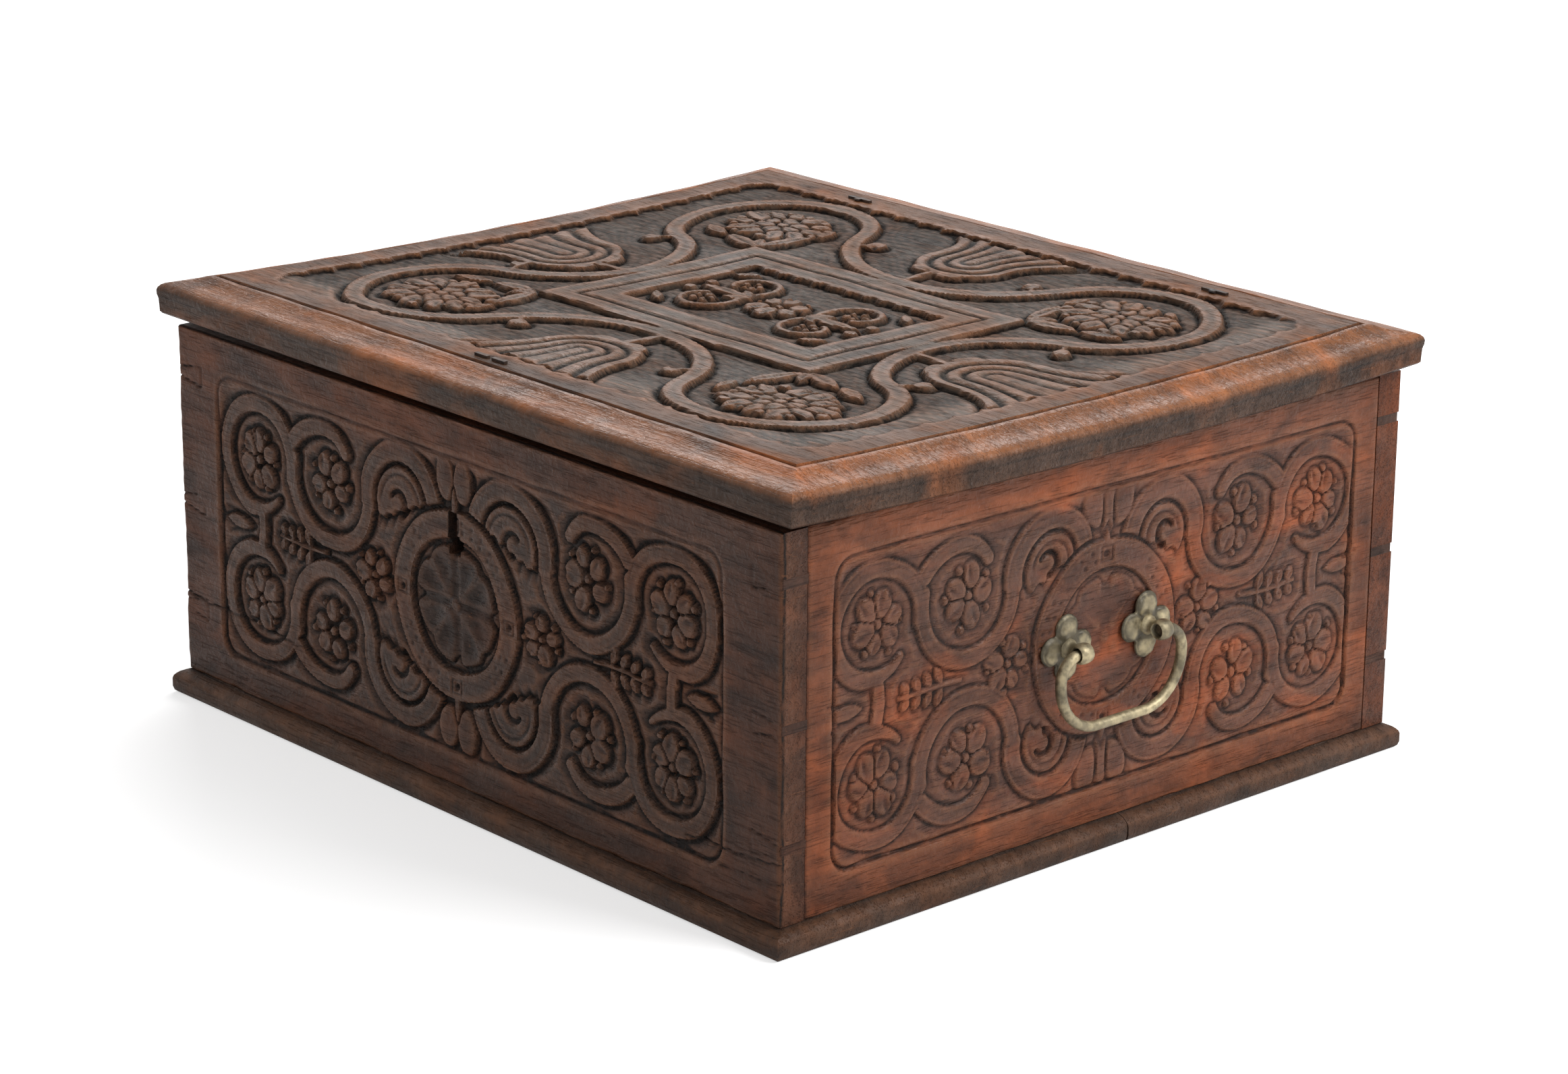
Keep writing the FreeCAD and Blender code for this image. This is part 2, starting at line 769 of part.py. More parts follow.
def make_lid_cotter():
    """Cotter in the lid: its eye rides on the staple, its leg is clenched on the lid's top.

    The leg clears the back board's top edge, enters the lid's underside and leans forward.
    """
    half_eye = hinge_eye_width / 2
    axis = Vector(0, hinge_axis_y, hinge_axis_z)
    eye_start = axis - Vector(half_eye, 0, 0)
    eye = Part.makeCylinder(hinge_eye_outer, hinge_eye_width, eye_start, X_AXIS)
    hole = Part.makeCylinder(hinge_eye_inner, hinge_eye_width, eye_start, X_AXIS)
    knee_y = hinge_axis_y - cotter_knee
    knee = Vector(0, knee_y, lid_underside_at(knee_y))
    top_y = hinge_axis_y - cotter_reach
    crown = Vector(0, top_y, lid_top_at(top_y))
    beyond = crown.sub(knee).normalize() * cotter_clench_thickness * 2
    path = [axis, knee, crown + beyond]
    half_leg = cotter_leg_width / 2
    outline = offset_path(path, half_leg) + list(reversed(offset_path(path, -half_leg)))
    leg = prism([point - Vector(half_eye, 0, 0) for point in outline], Vector(hinge_eye_width, 0, 0))
    clench_top = crown.z + cotter_clench_thickness
    clench = box(
        (-cotter_clench_length, cotter_clench_length),
        (top_y - half_leg, top_y + half_leg),
        (crown.z, clench_top),
    )
    cotter = eye.cut(hole).fuse([leg.cut(hole), clench]).removeSplitter()
    above = box((-plenty, plenty), (0, lid_back + plenty), (clench_top, rim + plenty))
    cotter = cotter.cut(above)
    cotter.translate(Vector(hinge_x, 0, 0))
    return cotter


# ---- Lock ----
lock_top = rim - lock_plate_drop
lock_face_y = -inner_half_depth + lock_plate_thickness
case_top = lock_top - lock_case_drop
case_low = case_top - lock_case_height
staple_front_y = lock_face_y + staple_side_gap
staple_middle_y = staple_front_y + staple_width / 2
bolt_y_range = (staple_middle_y - bolt_thickness / 2, staple_middle_y + bolt_thickness / 2)
key_pivot_z = keyhole_top - keyhole_width
bolt_bar_low = key_pivot_z + bolt_above_key
bolt_bar_top = bolt_bar_low + bolt_bar_height
staple_tip_z = bolt_bar_top + staple_bolt_gap
bolt_nose_low = staple_tip_z + staple_wall + staple_eye_gap
bolt_nose_top = bolt_nose_low + bolt_nose_height
guide_places = (keyhole_x - guide_spacing / 2, keyhole_x + guide_spacing / 2)
case_inner_half = lock_case_width / 2 - lock_case_wall
spring_stud_x = keyhole_x + case_inner_half - stud_width - bolt_clearance
lock_flange_reach = lock_case_width / 2 + lock_flange_width


def lock_nail_places():
    """Nail places through the case's side flanges."""
    reach = lock_case_width / 2 + lock_flange_width / 2
    low = case_low + lock_nail_inset
    high = case_top - lock_nail_inset
    return [(keyhole_x + side * reach, z) for side in (-1, 1) for z in (low, high)]


def make_lock_nails():
    """Nails through the flanges and the plate into the front board."""
    nails = []
    for x, z in lock_nail_places():
        one = nail(lock_nail_length + lock_case_wall + lock_plate_thickness)
        one.rotate(Vector(0, 0, 0), X_AXIS, 90)
        one.translate(Vector(x, lock_face_y + lock_case_wall + nail_head_thickness, z))
        nails.append(one)
    return nails


def make_lock_plate(nails):
    """Iron plate on the inside of the front board, with the bolt's guides and the spring's stud."""
    half = lock_plate_width / 2
    x_range = (keyhole_x - half, keyhole_x + half)
    plate = box(x_range, (-inner_half_depth, lock_face_y), (lock_top - lock_plate_height, lock_top))
    plate = plate.cut(keyhole_cutter((-inner_half_depth - overrun, lock_face_y + overrun)))
    pieces = []
    hole_y = (bolt_y_range[0] - bolt_clearance, bolt_y_range[1] + bolt_clearance)
    hole_z = (bolt_bar_low - bolt_clearance, bolt_bar_top + bolt_clearance)
    for x in guide_places:
        guide_x = (x - guide_length / 2, x + guide_length / 2)
        lug_y = (lock_face_y, hole_y[1] + guide_wall)
        lug = box(guide_x, lug_y, (hole_z[0] - guide_wall, hole_z[1] + guide_lip))
        pieces.append(lug.cut(box(guide_x, hole_y, hole_z)))
    stud_x = (spring_stud_x, spring_stud_x + stud_width)
    stud_middle = bolt_bar_top + spring_rise
    stud_z = (stud_middle - stud_height / 2, stud_middle + stud_height / 2)
    pieces.append(box(stud_x, (lock_face_y, bolt_y_range[1]), stud_z))
    return plate.fuse(pieces).removeSplitter().cut(nails)


def make_lock_case(nails):
    """Case over the works: a folded box with side flanges and a mouth for the lid staple."""
    half = lock_case_width / 2
    wall = lock_case_wall
    outer_y = (lock_face_y, lock_face_y + lock_case_depth)
    shell = box((keyhole_x - half, keyhole_x + half), outer_y, (case_low, case_top))
    inner_x = (keyhole_x - half + wall, keyhole_x + half - wall)
    shell = shell.cut(box(inner_x, (lock_face_y, outer_y[1] - wall), (case_low + wall, case_top - wall)))
    mouth_half = staple_thickness / 2 + lock_mouth_clearance
    mouth_y = (lock_face_y, outer_y[1] - wall)
    mouth_x = (keyhole_x - mouth_half, keyhole_x + mouth_half)
    shell = shell.cut(box(mouth_x, mouth_y, (case_top - wall, case_top)))
    flanges = []
    for side in (-1, 1):
        near = keyhole_x + side * half
        far = keyhole_x + side * lock_flange_reach
        x_range = (min(near, far), max(near, far))
        flanges.append(box(x_range, (lock_face_y, lock_face_y + wall), (case_low, case_top)))
    return shell.fuse(flanges).removeSplitter().cut(nails)


def make_lock_bolt():
    """Forged bolt: a notched bar in the guides, a riser and the nose that shoots through the staple."""
    tip_x = keyhole_x - staple_thickness / 2 - staple_bolt_gap
    tail_x = keyhole_x - case_inner_half + bolt_end_clearance
    riser_x = tail_x + bolt_riser_width
    bar_end = keyhole_x + case_inner_half - bolt_travel - bolt_end_clearance
    half_notch = bolt_notch_width / 2
    bar = box((tail_x, bar_end), bolt_y_range, (bolt_bar_low, bolt_bar_top))
    riser = box((tail_x, riser_x), bolt_y_range, (bolt_bar_low, bolt_nose_top))
    nose = box((tail_x, tip_x), bolt_y_range, (bolt_nose_low, bolt_nose_top))
    notch_z = (bolt_bar_low, bolt_bar_low + bolt_notch_depth)
    notch = box((keyhole_x - half_notch, keyhole_x + half_notch), bolt_y_range, notch_z)
    return bar.fuse([riser, nose]).removeSplitter().cut(notch)


def make_lock_spring():
    """Leaf spring: held by the stud, its free end rests on the bolt's bar."""
    root_x = spring_stud_x
    root_z = bolt_bar_top + spring_rise
    foot_x = guide_places[1] + guide_length / 2 + spring_guide_gap
    foot_z = bolt_bar_top + bolt_clearance
    leaf = Vector(0, 0, spring_thickness)
    foot_point = Vector(foot_x, bolt_y_range[0], foot_z)
    root_point = Vector(root_x, bolt_y_range[0], root_z)
    middle = (foot_point + root_point) * 0.5 + Vector(spring_sag / 2, 0, -spring_sag)
    lower = Part.Arc(foot_point, middle, root_point).toShape()
    upper = Part.Arc(foot_point + leaf, middle + leaf, root_point + leaf).toShape()
    foot = Part.makeLine(foot_point, foot_point + leaf)
    root = Part.makeLine(root_point, root_point + leaf)
    face = Part.Face(Part.Wire([lower, root, upper, foot]))
    return face.extrude(Vector(0, bolt_thickness, 0))


def make_lid_staple():
    """Staple under the lid: a flange let into the lid, clenched legs and an eye for the bolt."""
    half = staple_thickness / 2
    y_range = (staple_front_y, staple_front_y + staple_width)
    flange_low = lid_underside_at(y_range[0])
    flange_top = flange_low + staple_flange_thickness
    shank = box((keyhole_x - half, keyhole_x + half), y_range, (staple_tip_z, flange_low))
    eye_y = (y_range[0] + staple_wall, y_range[1] - staple_wall)
    eye_z = (staple_tip_z + staple_wall, bolt_nose_top + staple_eye_gap)
    eye = box((keyhole_x - half, keyhole_x + half), eye_y, eye_z)
    half_flange = staple_flange_length / 2
    flange = box((keyhole_x - half_flange, keyhole_x + half_flange), y_range, (flange_low, flange_top))
    leg_half = cotter_leg_width / 2
    top_z = lid_top_at(staple_middle_y)
    clench_y = (staple_middle_y - leg_half, staple_middle_y + leg_half)
    pieces = [flange]
    for side in (-1, 1):
        leg_x = keyhole_x + side * (half + leg_half)
        leg_range = (leg_x - leg_half, leg_x + leg_half)
        pieces.append(box(leg_range, clench_y, (flange_top, top_z + cotter_clench_thickness)))
        far = leg_x + side * cotter_clench_length
        clench_x = (min(leg_x, far), max(leg_x, far))
        pieces.append(box(clench_x, clench_y, (top_z, top_z + cotter_clench_thickness)))
    return shank.cut(eye).fuse(pieces).removeSplitter()


def staple_mortise():
    """Recess in the lid's underside that takes the staple's flange."""
    y_range = (staple_front_y, staple_front_y + staple_width)
    half_flange = staple_flange_length / 2
    flange_top = lid_underside_at(y_range[0]) + staple_flange_thickness
    return box((keyhole_x - half_flange, keyhole_x + half_flange), y_range, (rim, flange_top))


# ---- End handles (right end; the left ones are turned copies) ----
pivot_x = half_width + handle_stand_off
pivot_z = carcass_bottom + handle_height
post_y = post_spacing / 2


def make_handle_plate():
    """Cast back plate: four lobes round a hub, behind the rear post of the right handle."""
    centre = Vector(half_width, post_y, pivot_z)
    plate = Part.makeCylinder(plate_hub_radius, plate_thickness, centre, X_AXIS)
    lobes = []
    for quarter in range(4):
        turn = math.radians(90 * quarter)
        offset = Vector(0, plate_lobe_reach * math.cos(turn), plate_lobe_reach * math.sin(turn))
        lobes.append(Part.makeCylinder(plate_lobe_radius, plate_thickness, centre.add(offset), X_AXIS))
    plate = plate.fuse(lobes).removeSplitter()
    hole = Part.makeCylinder(post_shank_radius, plate_thickness, centre, X_AXIS)
    return plate.cut(hole)


def make_handle_post():
    """Post with its eye, on the rear side of the right handle; its shank is riveted inside."""
    root_x = half_width + plate_thickness
    head_start = Vector(pivot_x, post_y - post_head_length / 2, pivot_z)
    head = Part.makeCylinder(post_head_radius, post_head_length, head_start, Y_AXIS)
    rims = [edge for edge in head.Edges if edge.Closed and edge.Curve.TypeId == "Part::GeomCircle"]
    head = head.makeChamfer(post_chamfer, rims)
    neck = Part.makeCylinder(post_neck_radius, pivot_x - root_x, Vector(root_x, post_y, pivot_z), X_AXIS)
    shank_start = Vector(inner_half_width, post_y, pivot_z)
    shank = Part.makeCylinder(post_shank_radius, root_x - inner_half_width, shank_start, X_AXIS)
    rivet_start = Vector(inner_half_width - post_rivet_thickness, post_y, pivot_z)
    rivet = Part.makeCylinder(post_rivet_radius, post_rivet_thickness, rivet_start, X_AXIS)
    bore_radius = bail_pin_radius + bail_pin_clearance
    bore = Part.makeCylinder(bore_radius, post_head_length, head_start, Y_AXIS)
    return head.fuse([neck, shank, rivet]).removeSplitter().cut(bore)


def bent_rod(start, turn_centre, degrees):
    """A round rod bent in the YZ plane: its section at start, turned about the bend's centre."""
    radial = start.sub(turn_centre)
    normal = X_AXIS.cross(radial)
    section = Part.Face(Part.Wire([Part.makeCircle(bail_rod_radius, start, normal)]))
    return section.revolve(turn_centre, X_AXIS, degrees)


def straight_rod(start, end):
    """A straight stretch of the bail's rod."""
    along = end.sub(start)
    return Part.makeCylinder(bail_rod_radius, along.Length, start, along)


def make_bail():
    """Bail of the right handle, hanging, with a pin at each end that turns in the post's eye."""
    shoulder_y = post_y + post_head_length / 2 + bail_shoulder_gap
    arm_y = bail_half_width
    shoulder_radius = min(bail_shoulder_radius, arm_y - shoulder_y - bail_shoulder_straight)
    corner_y = arm_y - bail_corner_radius
    corner_z = pivot_z - bail_drop + bail_corner_radius
    shoulder = Vector(pivot_x, shoulder_y, pivot_z)
    bend_start = Vector(pivot_x, arm_y - shoulder_radius, pivot_z)
    bend_centre = Vector(pivot_x, arm_y - shoulder_radius, pivot_z - shoulder_radius)
    bend_end = Vector(pivot_x, arm_y, pivot_z - shoulder_radius)
    corner_start = Vector(pivot_x, arm_y, corner_z)
    corner_centre = Vector(pivot_x, corner_y, corner_z)
    corner_end = Vector(pivot_x, corner_y, pivot_z - bail_drop)
    middle = Vector(pivot_x, 0, pivot_z - bail_drop)
    pin_tip_y = post_y - post_head_length / 2 - bail_pin_tip
    pin_tip = Vector(pivot_x, pin_tip_y, pivot_z)
    half = straight_rod(shoulder, bend_start).fuse([
        bent_rod(bend_start, bend_centre, -90),
        straight_rod(bend_end, corner_start),
        bent_rod(corner_start, corner_centre, -90),
        straight_rod(corner_end, middle),
        Part.makeCylinder(bail_pin_radius, shoulder_y - pin_tip_y, pin_tip, Y_AXIS),
    ])
    return half.fuse(mirrored_in_y(half)).removeSplitter()


# ---- Build ----
def main():
    os.makedirs("parts", exist_ok=True)

    bottom_nails = make_bottom_nails()
    lock_nails = make_lock_nails()
    pins_rf, pins_lf, pins_rb, pins_lb = all_corner_pins()

    rear_post = make_handle_post()
    front_post = mirrored_in_y(rear_post)
    right_posts = [front_post, rear_post]
    left_posts = [turned_about_z(post) for post in right_posts]

    right_staple = make_hinge_staple()
    left_staple = mirrored_in_x(right_staple)
    right_cotter = make_lid_cotter()
    left_cotter = mirrored_in_x(right_cotter)

    lid_staple = make_lid_staple()

    export("front_board", make_front_board(pins_rf + pins_lf, bottom_nails, lock_nails))
    export("back_board", make_back_board(pins_rb + pins_lb, bottom_nails, [left_staple, right_staple]))
    right_board = make_right_board(pins_rf + pins_rb, bottom_nails, right_posts)
    export("right_board", right_board)
    left_nails = [turned_about_z(one) for one in bottom_nails]
    left_board = turned_about_z(make_right_board(pins_rf + pins_rb, left_nails, right_posts))
    export("left_board", left_board)

    bottom_front, bottom_rear = make_bottom_boards(bottom_nails)
    export("bottom_board_front", bottom_front)
    export("bottom_board_rear", bottom_rear)
    export("bottom_nails", Part.makeCompound(bottom_nails))

    lid_fixings = [right_cotter, left_cotter, lid_staple, staple_mortise()]
    export("lid_board", make_lid_board(lid_fixings))
    export("lid_lock_staple", lid_staple)
    export("hinge_right_lid_cotter", right_cotter)
    export("hinge_left_lid_cotter", left_cotter)
    export("hinge_right_back_staple", right_staple)
    export("hinge_left_back_staple", left_staple)

    export("lock_plate", make_lock_plate(lock_nails))
    export("lock_case", make_lock_case(lock_nails))
    export("lock_bolt", make_lock_bolt())
    export("lock_spring", make_lock_spring())
    export("lock_nails", Part.makeCompound(lock_nails))

    rear_plate = make_handle_plate()
    front_plate = mirrored_in_y(rear_plate)
    bail = make_bail()
    export("handle_right_front_plate", front_plate)
    export("handle_right_rear_plate", rear_plate)
    export("handle_right_front_post", front_post)
    export("handle_right_rear_post", rear_post)
    export("handle_right_bail", bail)
    export("handle_left_front_plate", turned_about_z(rear_plate))
    export("handle_left_rear_plate", turned_about_z(front_plate))
    export("handle_left_front_post", left_posts[1])
    export("handle_left_rear_post", left_posts[0])
    export("handle_left_bail", turned_about_z(bail))


main()
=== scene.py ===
import math

import bpy
import numpy as np
from mathutils import Matrix, Vector


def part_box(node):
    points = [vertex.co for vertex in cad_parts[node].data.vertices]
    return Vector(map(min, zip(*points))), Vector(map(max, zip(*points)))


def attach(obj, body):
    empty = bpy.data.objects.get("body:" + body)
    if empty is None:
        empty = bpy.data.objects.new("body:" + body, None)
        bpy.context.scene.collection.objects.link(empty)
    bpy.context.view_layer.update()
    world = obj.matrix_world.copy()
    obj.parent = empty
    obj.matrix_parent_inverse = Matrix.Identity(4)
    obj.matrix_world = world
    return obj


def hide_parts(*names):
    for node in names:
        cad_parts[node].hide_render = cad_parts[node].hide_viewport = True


bl_info = {
    "name": "Carved oak coffer",
    "version": (1, 0, 0),
    "blender": (4, 5, 0),
    "location": "View3D > Sidebar > Coffer",
    "description": "Carves and finishes a small oak coffer on its packed frame",
    "category": "Add Mesh",
}

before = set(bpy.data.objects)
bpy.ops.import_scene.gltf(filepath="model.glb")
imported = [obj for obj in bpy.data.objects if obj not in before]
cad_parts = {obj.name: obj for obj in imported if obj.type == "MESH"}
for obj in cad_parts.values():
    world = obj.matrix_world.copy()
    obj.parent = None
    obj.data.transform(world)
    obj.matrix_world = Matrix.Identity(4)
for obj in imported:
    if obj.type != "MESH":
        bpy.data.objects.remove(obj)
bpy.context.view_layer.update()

# Shapes are worked out in millimetres and put into meshes in metres.
MM = 0.001


def node_box(node):
    """A frame node's lowest and highest corner, in millimetres."""
    low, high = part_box(node)
    return np.array(low) / MM, np.array(high) / MM


FRONT_LOW, FRONT_HIGH = node_box("front_board")
RIGHT_LOW, RIGHT_HIGH = node_box("right_board")
LID_LOW, LID_HIGH = node_box("lid_board")
POST_LOW, POST_HIGH = node_box("handle_right_rear_post")
PLATE_FOOT = node_box("handle_right_rear_plate")[0][0]
BAIL_LOW, BAIL_HIGH = node_box("handle_right_bail")


# ---- Property groups ----
def millimetres(name, text, default, **limits):
    """A size in millimetres."""
    return bpy.props.FloatProperty(name=name, description=text + ", in mm", default=default, **limits)


def tint(name, text, colour):
    """A colour, linear red, green and blue."""
    return bpy.props.FloatVectorProperty(
        name=name, description=text, subtype="COLOR", size=3, default=colour, min=0, max=1)


def power(name, text, watts):
    """A lamp's power."""
    return bpy.props.FloatProperty(
        name=name, description=text + ", in watts", unit="POWER", default=watts, min=0)


def turn_of(name, text, degrees):
    """An angle, given in degrees."""
    return bpy.props.FloatProperty(
        name=name, description=text, subtype="ANGLE", default=math.radians(degrees))


class CofferCarving(bpy.types.PropertyGroup):
    """Sizes of the carving."""

    depth: millimetres("Depth", "Depth of the sunk ground", 2.7, min=0.2, max=5.0)
    ground_rise: millimetres("Ground rise", "How far the ground rises away from the forms", 1.5)
    edge_width: millimetres("Edge width", "Run of a form's cut edge", 1.25, min=0.3)
    band_half_width: millimetres("Vine half width", "Half the width of the vine's band", 5.3)
    waver: millimetres("Waver", "How far the hand strays from the drawn line", 1.1)
    lid_depth: millimetres("Lid depth", "Depth of the sunk ground on the lid", 3.0)
    lid_band_half_width: millimetres("Lid band half width", "Half the width of the lid's lobed band", 6.4)
    scallop_pitch: millimetres("Scallop pitch", "Length of one scallop along the lid's field", 20.0)
    scallop_depth: millimetres("Scallop depth", "How far a scallop bites into the border", 4.6)


class CofferWood(bpy.types.PropertyGroup):
    """Colours and wear of the oak."""

    # The front's tints are darker than the ends' in part as painted shade, for the front faces away from the
    # key lamp.
    front: tint("Front", "Waxed oak of the front", (0.086, 0.035, 0.020))
    front_field: tint("Front field", "Waxed oak inside the front's carved field", (0.062, 0.032, 0.022))
    ends: tint("Ends", "Waxed oak of the two ends", (0.222, 0.065, 0.025))
    end_field: tint("End field", "Waxed oak inside the ends' carved field", (0.118, 0.045, 0.027))
    lid: tint("Lid", "Waxed oak of the lid", (0.146, 0.064, 0.030))
    # The lid field's grey is in part a painted reflection of the white surroundings.
    lid_field: tint("Lid field", "Dull oak inside the lid's carved field", (0.104, 0.074, 0.054))
    # The lid edge's bright orange is rubbed oak and in part a painted highlight of the lamps on the moulding.
    lid_edge: tint("Lid edge", "Oak of the lid's moulding, rubbed by hands", (0.290, 0.105, 0.036))
    # The lid side's dark tint is in part painted shade on the lid's upright edge.
    lid_side: tint("Lid side", "Oak of the lid's upright edge", (0.074, 0.044, 0.031))
    base: tint("Base", "Oak of the bottom boards", (0.070, 0.036, 0.022))
    film: tint("Film", "Grey film of old wax and dust", (0.088, 0.076, 0.066))
    dirt: tint("Dirt", "Old wax and dirt in the recesses", (0.006, 0.0045, 0.004))
    # The worn tint is wood rubbed bare on crests and scratches, and on the crests a painted highlight too.
    worn_and_highlight: tint("Worn", "Wood rubbed bare on the arrises", (0.360, 0.145, 0.062))
    edge_wear: millimetres("Edge wear", "Radius that rubbing gave the arrises", 1.6, min=0.2)


class CofferMetal(bpy.types.PropertyGroup):
    """Colours of the metal fittings."""

    brass: tint("Brass", "Dull brass of the handles", (0.46, 0.385, 0.235))
    tarnish: tint("Tarnish", "Dark tarnish on the brass", (0.070, 0.058, 0.036))
    iron: tint("Iron", "Forged iron", (0.035, 0.030, 0.028))
    rust: tint("Rust", "Brown rust on the iron", (0.090, 0.042, 0.022))


class CofferStage(bpy.types.PropertyGroup):
    """Camera, lamps and floor."""

    azimuth: turn_of("Azimuth", "Camera's turn from the front towards the right end", 47.9206)
    elevation: turn_of("Elevation", "Camera's height angle", 17.7205)
    roll: turn_of("Roll", "Camera's roll", 0.4912)
    place: bpy.props.FloatVectorProperty(
        name="Camera place", description="Where the camera stands", subtype="TRANSLATION", size=3,
        default=(1.6790, -1.5120, 0.8280))
    lens: bpy.props.FloatProperty(
        name="Lens", description="Focal length on a 36 mm sensor", unit="CAMERA", default=99.1)
    key_power: power("Key", "Power of the key lamp", 46.0)
    back_power: power("Back", "Power of the lamp behind the chest", 26.0)
    sky: bpy.props.FloatProperty(
        name="Sky", description="Strength of the surrounding light", default=0.42, min=0)


SETTINGS = {
    "coffer_carving": CofferCarving,
    "coffer_wood": CofferWood,
    "coffer_metal": CofferMetal,
    "coffer_stage": CofferStage,
}


# ---- Drawing on a grid: distances in the board's plane ----
# A form is a pair of grids: the distance outside its outline, negative inside, and the height of its face,
# where 0 is the board's face. FAR is the distance of a form that isn't there.
FAR = 1e3
BESIDE = 2.0


def waver(x, y, wavelength, seed):
    """Slow irregular waviness, mostly from -1 to 1.

    It is the sum of five sine waves, each longer than the one before and turned from it, over 3.2.
    """
    total = np.zeros(np.broadcast(x, y).shape)
    for k in range(5):
        turn = 1.7 * seed + 2.4 * k
        rate = 2 * math.pi / (wavelength * (0.7 + 0.23 * k))
        total = total + np.sin(rate * (x * math.cos(turn) + y * math.sin(turn)) + 1.3 * seed * k + k)
    return total / 3.2


def rise(value, low, high):
    """Smooth step: 0 below low, 1 above high, three t squared less two t cubed between them."""
    t = np.clip((value - low) / (high - low), 0.0, 1.0)
    return t * t * (3.0 - 2.0 * t)


def bell(value, width):
    """Bell curve: e to the minus square of the value over the width."""
    return np.exp(-(value / width) ** 2)


def circle(x, y, cx, cy, radius):
    """Distance outside a circle, negative inside."""
    return np.hypot(x - cx, y - cy) - radius


def capsule(x, y, start, end, radius):
    """Distance outside a stick with round ends: distance to its line less its radius."""
    ax, ay = start
    bx, by = end[0] - ax, end[1] - ay
    t = np.clip(((x - ax) * bx + (y - ay) * by) / (bx * bx + by * by), 0.0, 1.0)
    return np.hypot(x - ax - t * bx, y - ay - t * by) - radius


def lens(x, y, root, turn, length, width):
    """Distance outside a pointed leaf: the larger of the distances outside its two equal circles."""
    along = (x - root[0]) * math.cos(turn) + (y - root[1]) * math.sin(turn) - length / 2
    across = -(x - root[0]) * math.sin(turn) + (y - root[1]) * math.cos(turn)
    radius = (length ** 2 / 4 + width ** 2 / 4) / width
    offset = radius - width / 2
    return np.hypot(along, np.abs(across) + offset) - radius


def curl(x, y, centre, radii, turns, half_widths):
    """Distance outside a band that follows a spiral, and the place across it.

    The band's middle line has a radius that goes evenly from the first to the second between two turns,
    and its half width likewise. Beyond its ends the distance is that to the round ends. The place is
    -1 to 1 across the band, and BESIDE past its ends.
    """
    dx, dy = x - centre[0], y - centre[1]
    middle = (turns[0] + turns[1]) / 2
    angle = np.degrees(np.arctan2(dy, dx))
    angle = middle + (angle - middle + 180.0) % 360.0 - 180.0
    t = (angle - turns[0]) / (turns[1] - turns[0])
    share = np.clip(t, 0.0, 1.0)
    across = np.hypot(dx, dy) - (radii[0] + (radii[1] - radii[0]) * share)
    half = half_widths[0] + (half_widths[1] - half_widths[0]) * share
    distance = np.abs(across) - half
    between = (t >= 0.0) & (t <= 1.0)
    ends = []
    for k in (0, 1):
        end = math.radians(turns[k])
        ex = centre[0] + radii[k] * math.cos(end)
        ey = centre[1] + radii[k] * math.sin(end)
        ends.append(np.hypot(x - ex, y - ey) - half_widths[k])
    distance = np.where(between, distance, np.minimum(ends[0], ends[1]))
    return distance, np.where(between, across / half, BESIDE)


def rounded_rectangle(x, y, half_x, half_y, radius):
    """Distance outside a rectangle with rounded corners, negative inside."""
    dx = np.abs(x) - half_x + radius
    dy = np.abs(y) - half_y + radius
    outside = np.hypot(np.maximum(dx, 0.0), np.maximum(dy, 0.0))
    return outside + np.minimum(np.maximum(dx, dy), 0.0) - radius


def folded_sector(x, y, count, phase):
    """Coordinates along and across the nearest of several equal rays from the origin."""
    sector = 2 * math.pi / count
    angle = np.arctan2(y, x) - phase
    angle = (angle + sector / 2) % sector - sector / 2
    reach = np.hypot(x, y)
    return reach * np.cos(angle), reach * np.sin(angle)


def rose(x, y, radius, seed, petals=5, rows=1):
    """A ragged rose: distance outside it and its height.

    Petals stand in one or two uneven rows round a boss, longer outwards than they are wide, with small
    leaves between the outer ones. The distance is that of the nearest petal's oval, a valley runs where
    two are equally near, and a gouge creases each petal outwards. It is worked out near the rose only;
    farther away the distance is that outside a circle.
    """
    chance = np.random.default_rng(int(1000 * abs(seed)) + 7)
    # A ring holds its share of the radius, its count, and its knobs' size and stretch.
    rings = [(0.60, petals, 0.34, 1.15)]
    if rows == 2:
        rings = [(0.36, petals - 2, 0.20, 1.3), (0.70, petals + 3, 0.19, 1.9)]
    leaf_ring = len(rings)
    rings.append((0.90, rings[-1][1], 0.125, 0.9))
    start = chance.uniform(0.0, 2 * math.pi)
    knobs = [(0.0, 0.0, 0.16 * radius, 1.0, 0.0, 0.0)]
    for index, (ring, count, size, stretch) in enumerate(rings):
        petal = index < leaf_ring
        offset = 0.0 if petal else 0.5
        crease = 0.9 if petal else 0.0
        start = start + 0.4 * index * petal
        for k in range(count):
            turn = start + 2 * math.pi * (k + offset + chance.uniform(-0.16, 0.16)) / count
            reach = ring * radius * (1.0 + chance.uniform(-0.10, 0.08))
            knobs.append((reach * math.cos(turn), reach * math.sin(turn),
                          size * radius * (1.0 + chance.uniform(-0.18, 0.18)), stretch,
                          turn + chance.uniform(-0.35, 0.35), crease))
    own_reach = np.hypot(x, y)
    distance = own_reach - 0.98 * radius
    height = np.full(x.shape, -0.3)
    local = own_reach < 1.7 * radius
    own_x, own_y = x[local], y[local]
    first = np.full(own_x.shape, FAR)
    second = np.full(own_x.shape, FAR)
    cuts = np.zeros(own_x.shape)
    for cx, cy, size, stretch, turn, crease in knobs:
        dx, dy = own_x - cx, own_y - cy
        along = dx * math.cos(turn) + dy * math.sin(turn)
        across = dy * math.cos(turn) - dx * math.sin(turn)
        reach = np.hypot(along / stretch, across) - size
        nearer = reach < first
        second = np.where(nearer, first, np.minimum(second, reach))
        one = crease * bell(across - 0.25 * size, 0.22 * size) * rise(along, -0.7 * size, 0.5 * size)
        cuts = np.where(nearer, one, cuts)
        first = np.where(nearer, reach, first)
    valley = bell(second - first, 0.07 * radius ** 0.8)
    distance[local] = first - 0.02 * radius
    height[local] = -0.12 - 1.6 * valley - cuts - 0.35 * rise(first, -0.06 * radius, 0.03 * radius)
    return distance, height


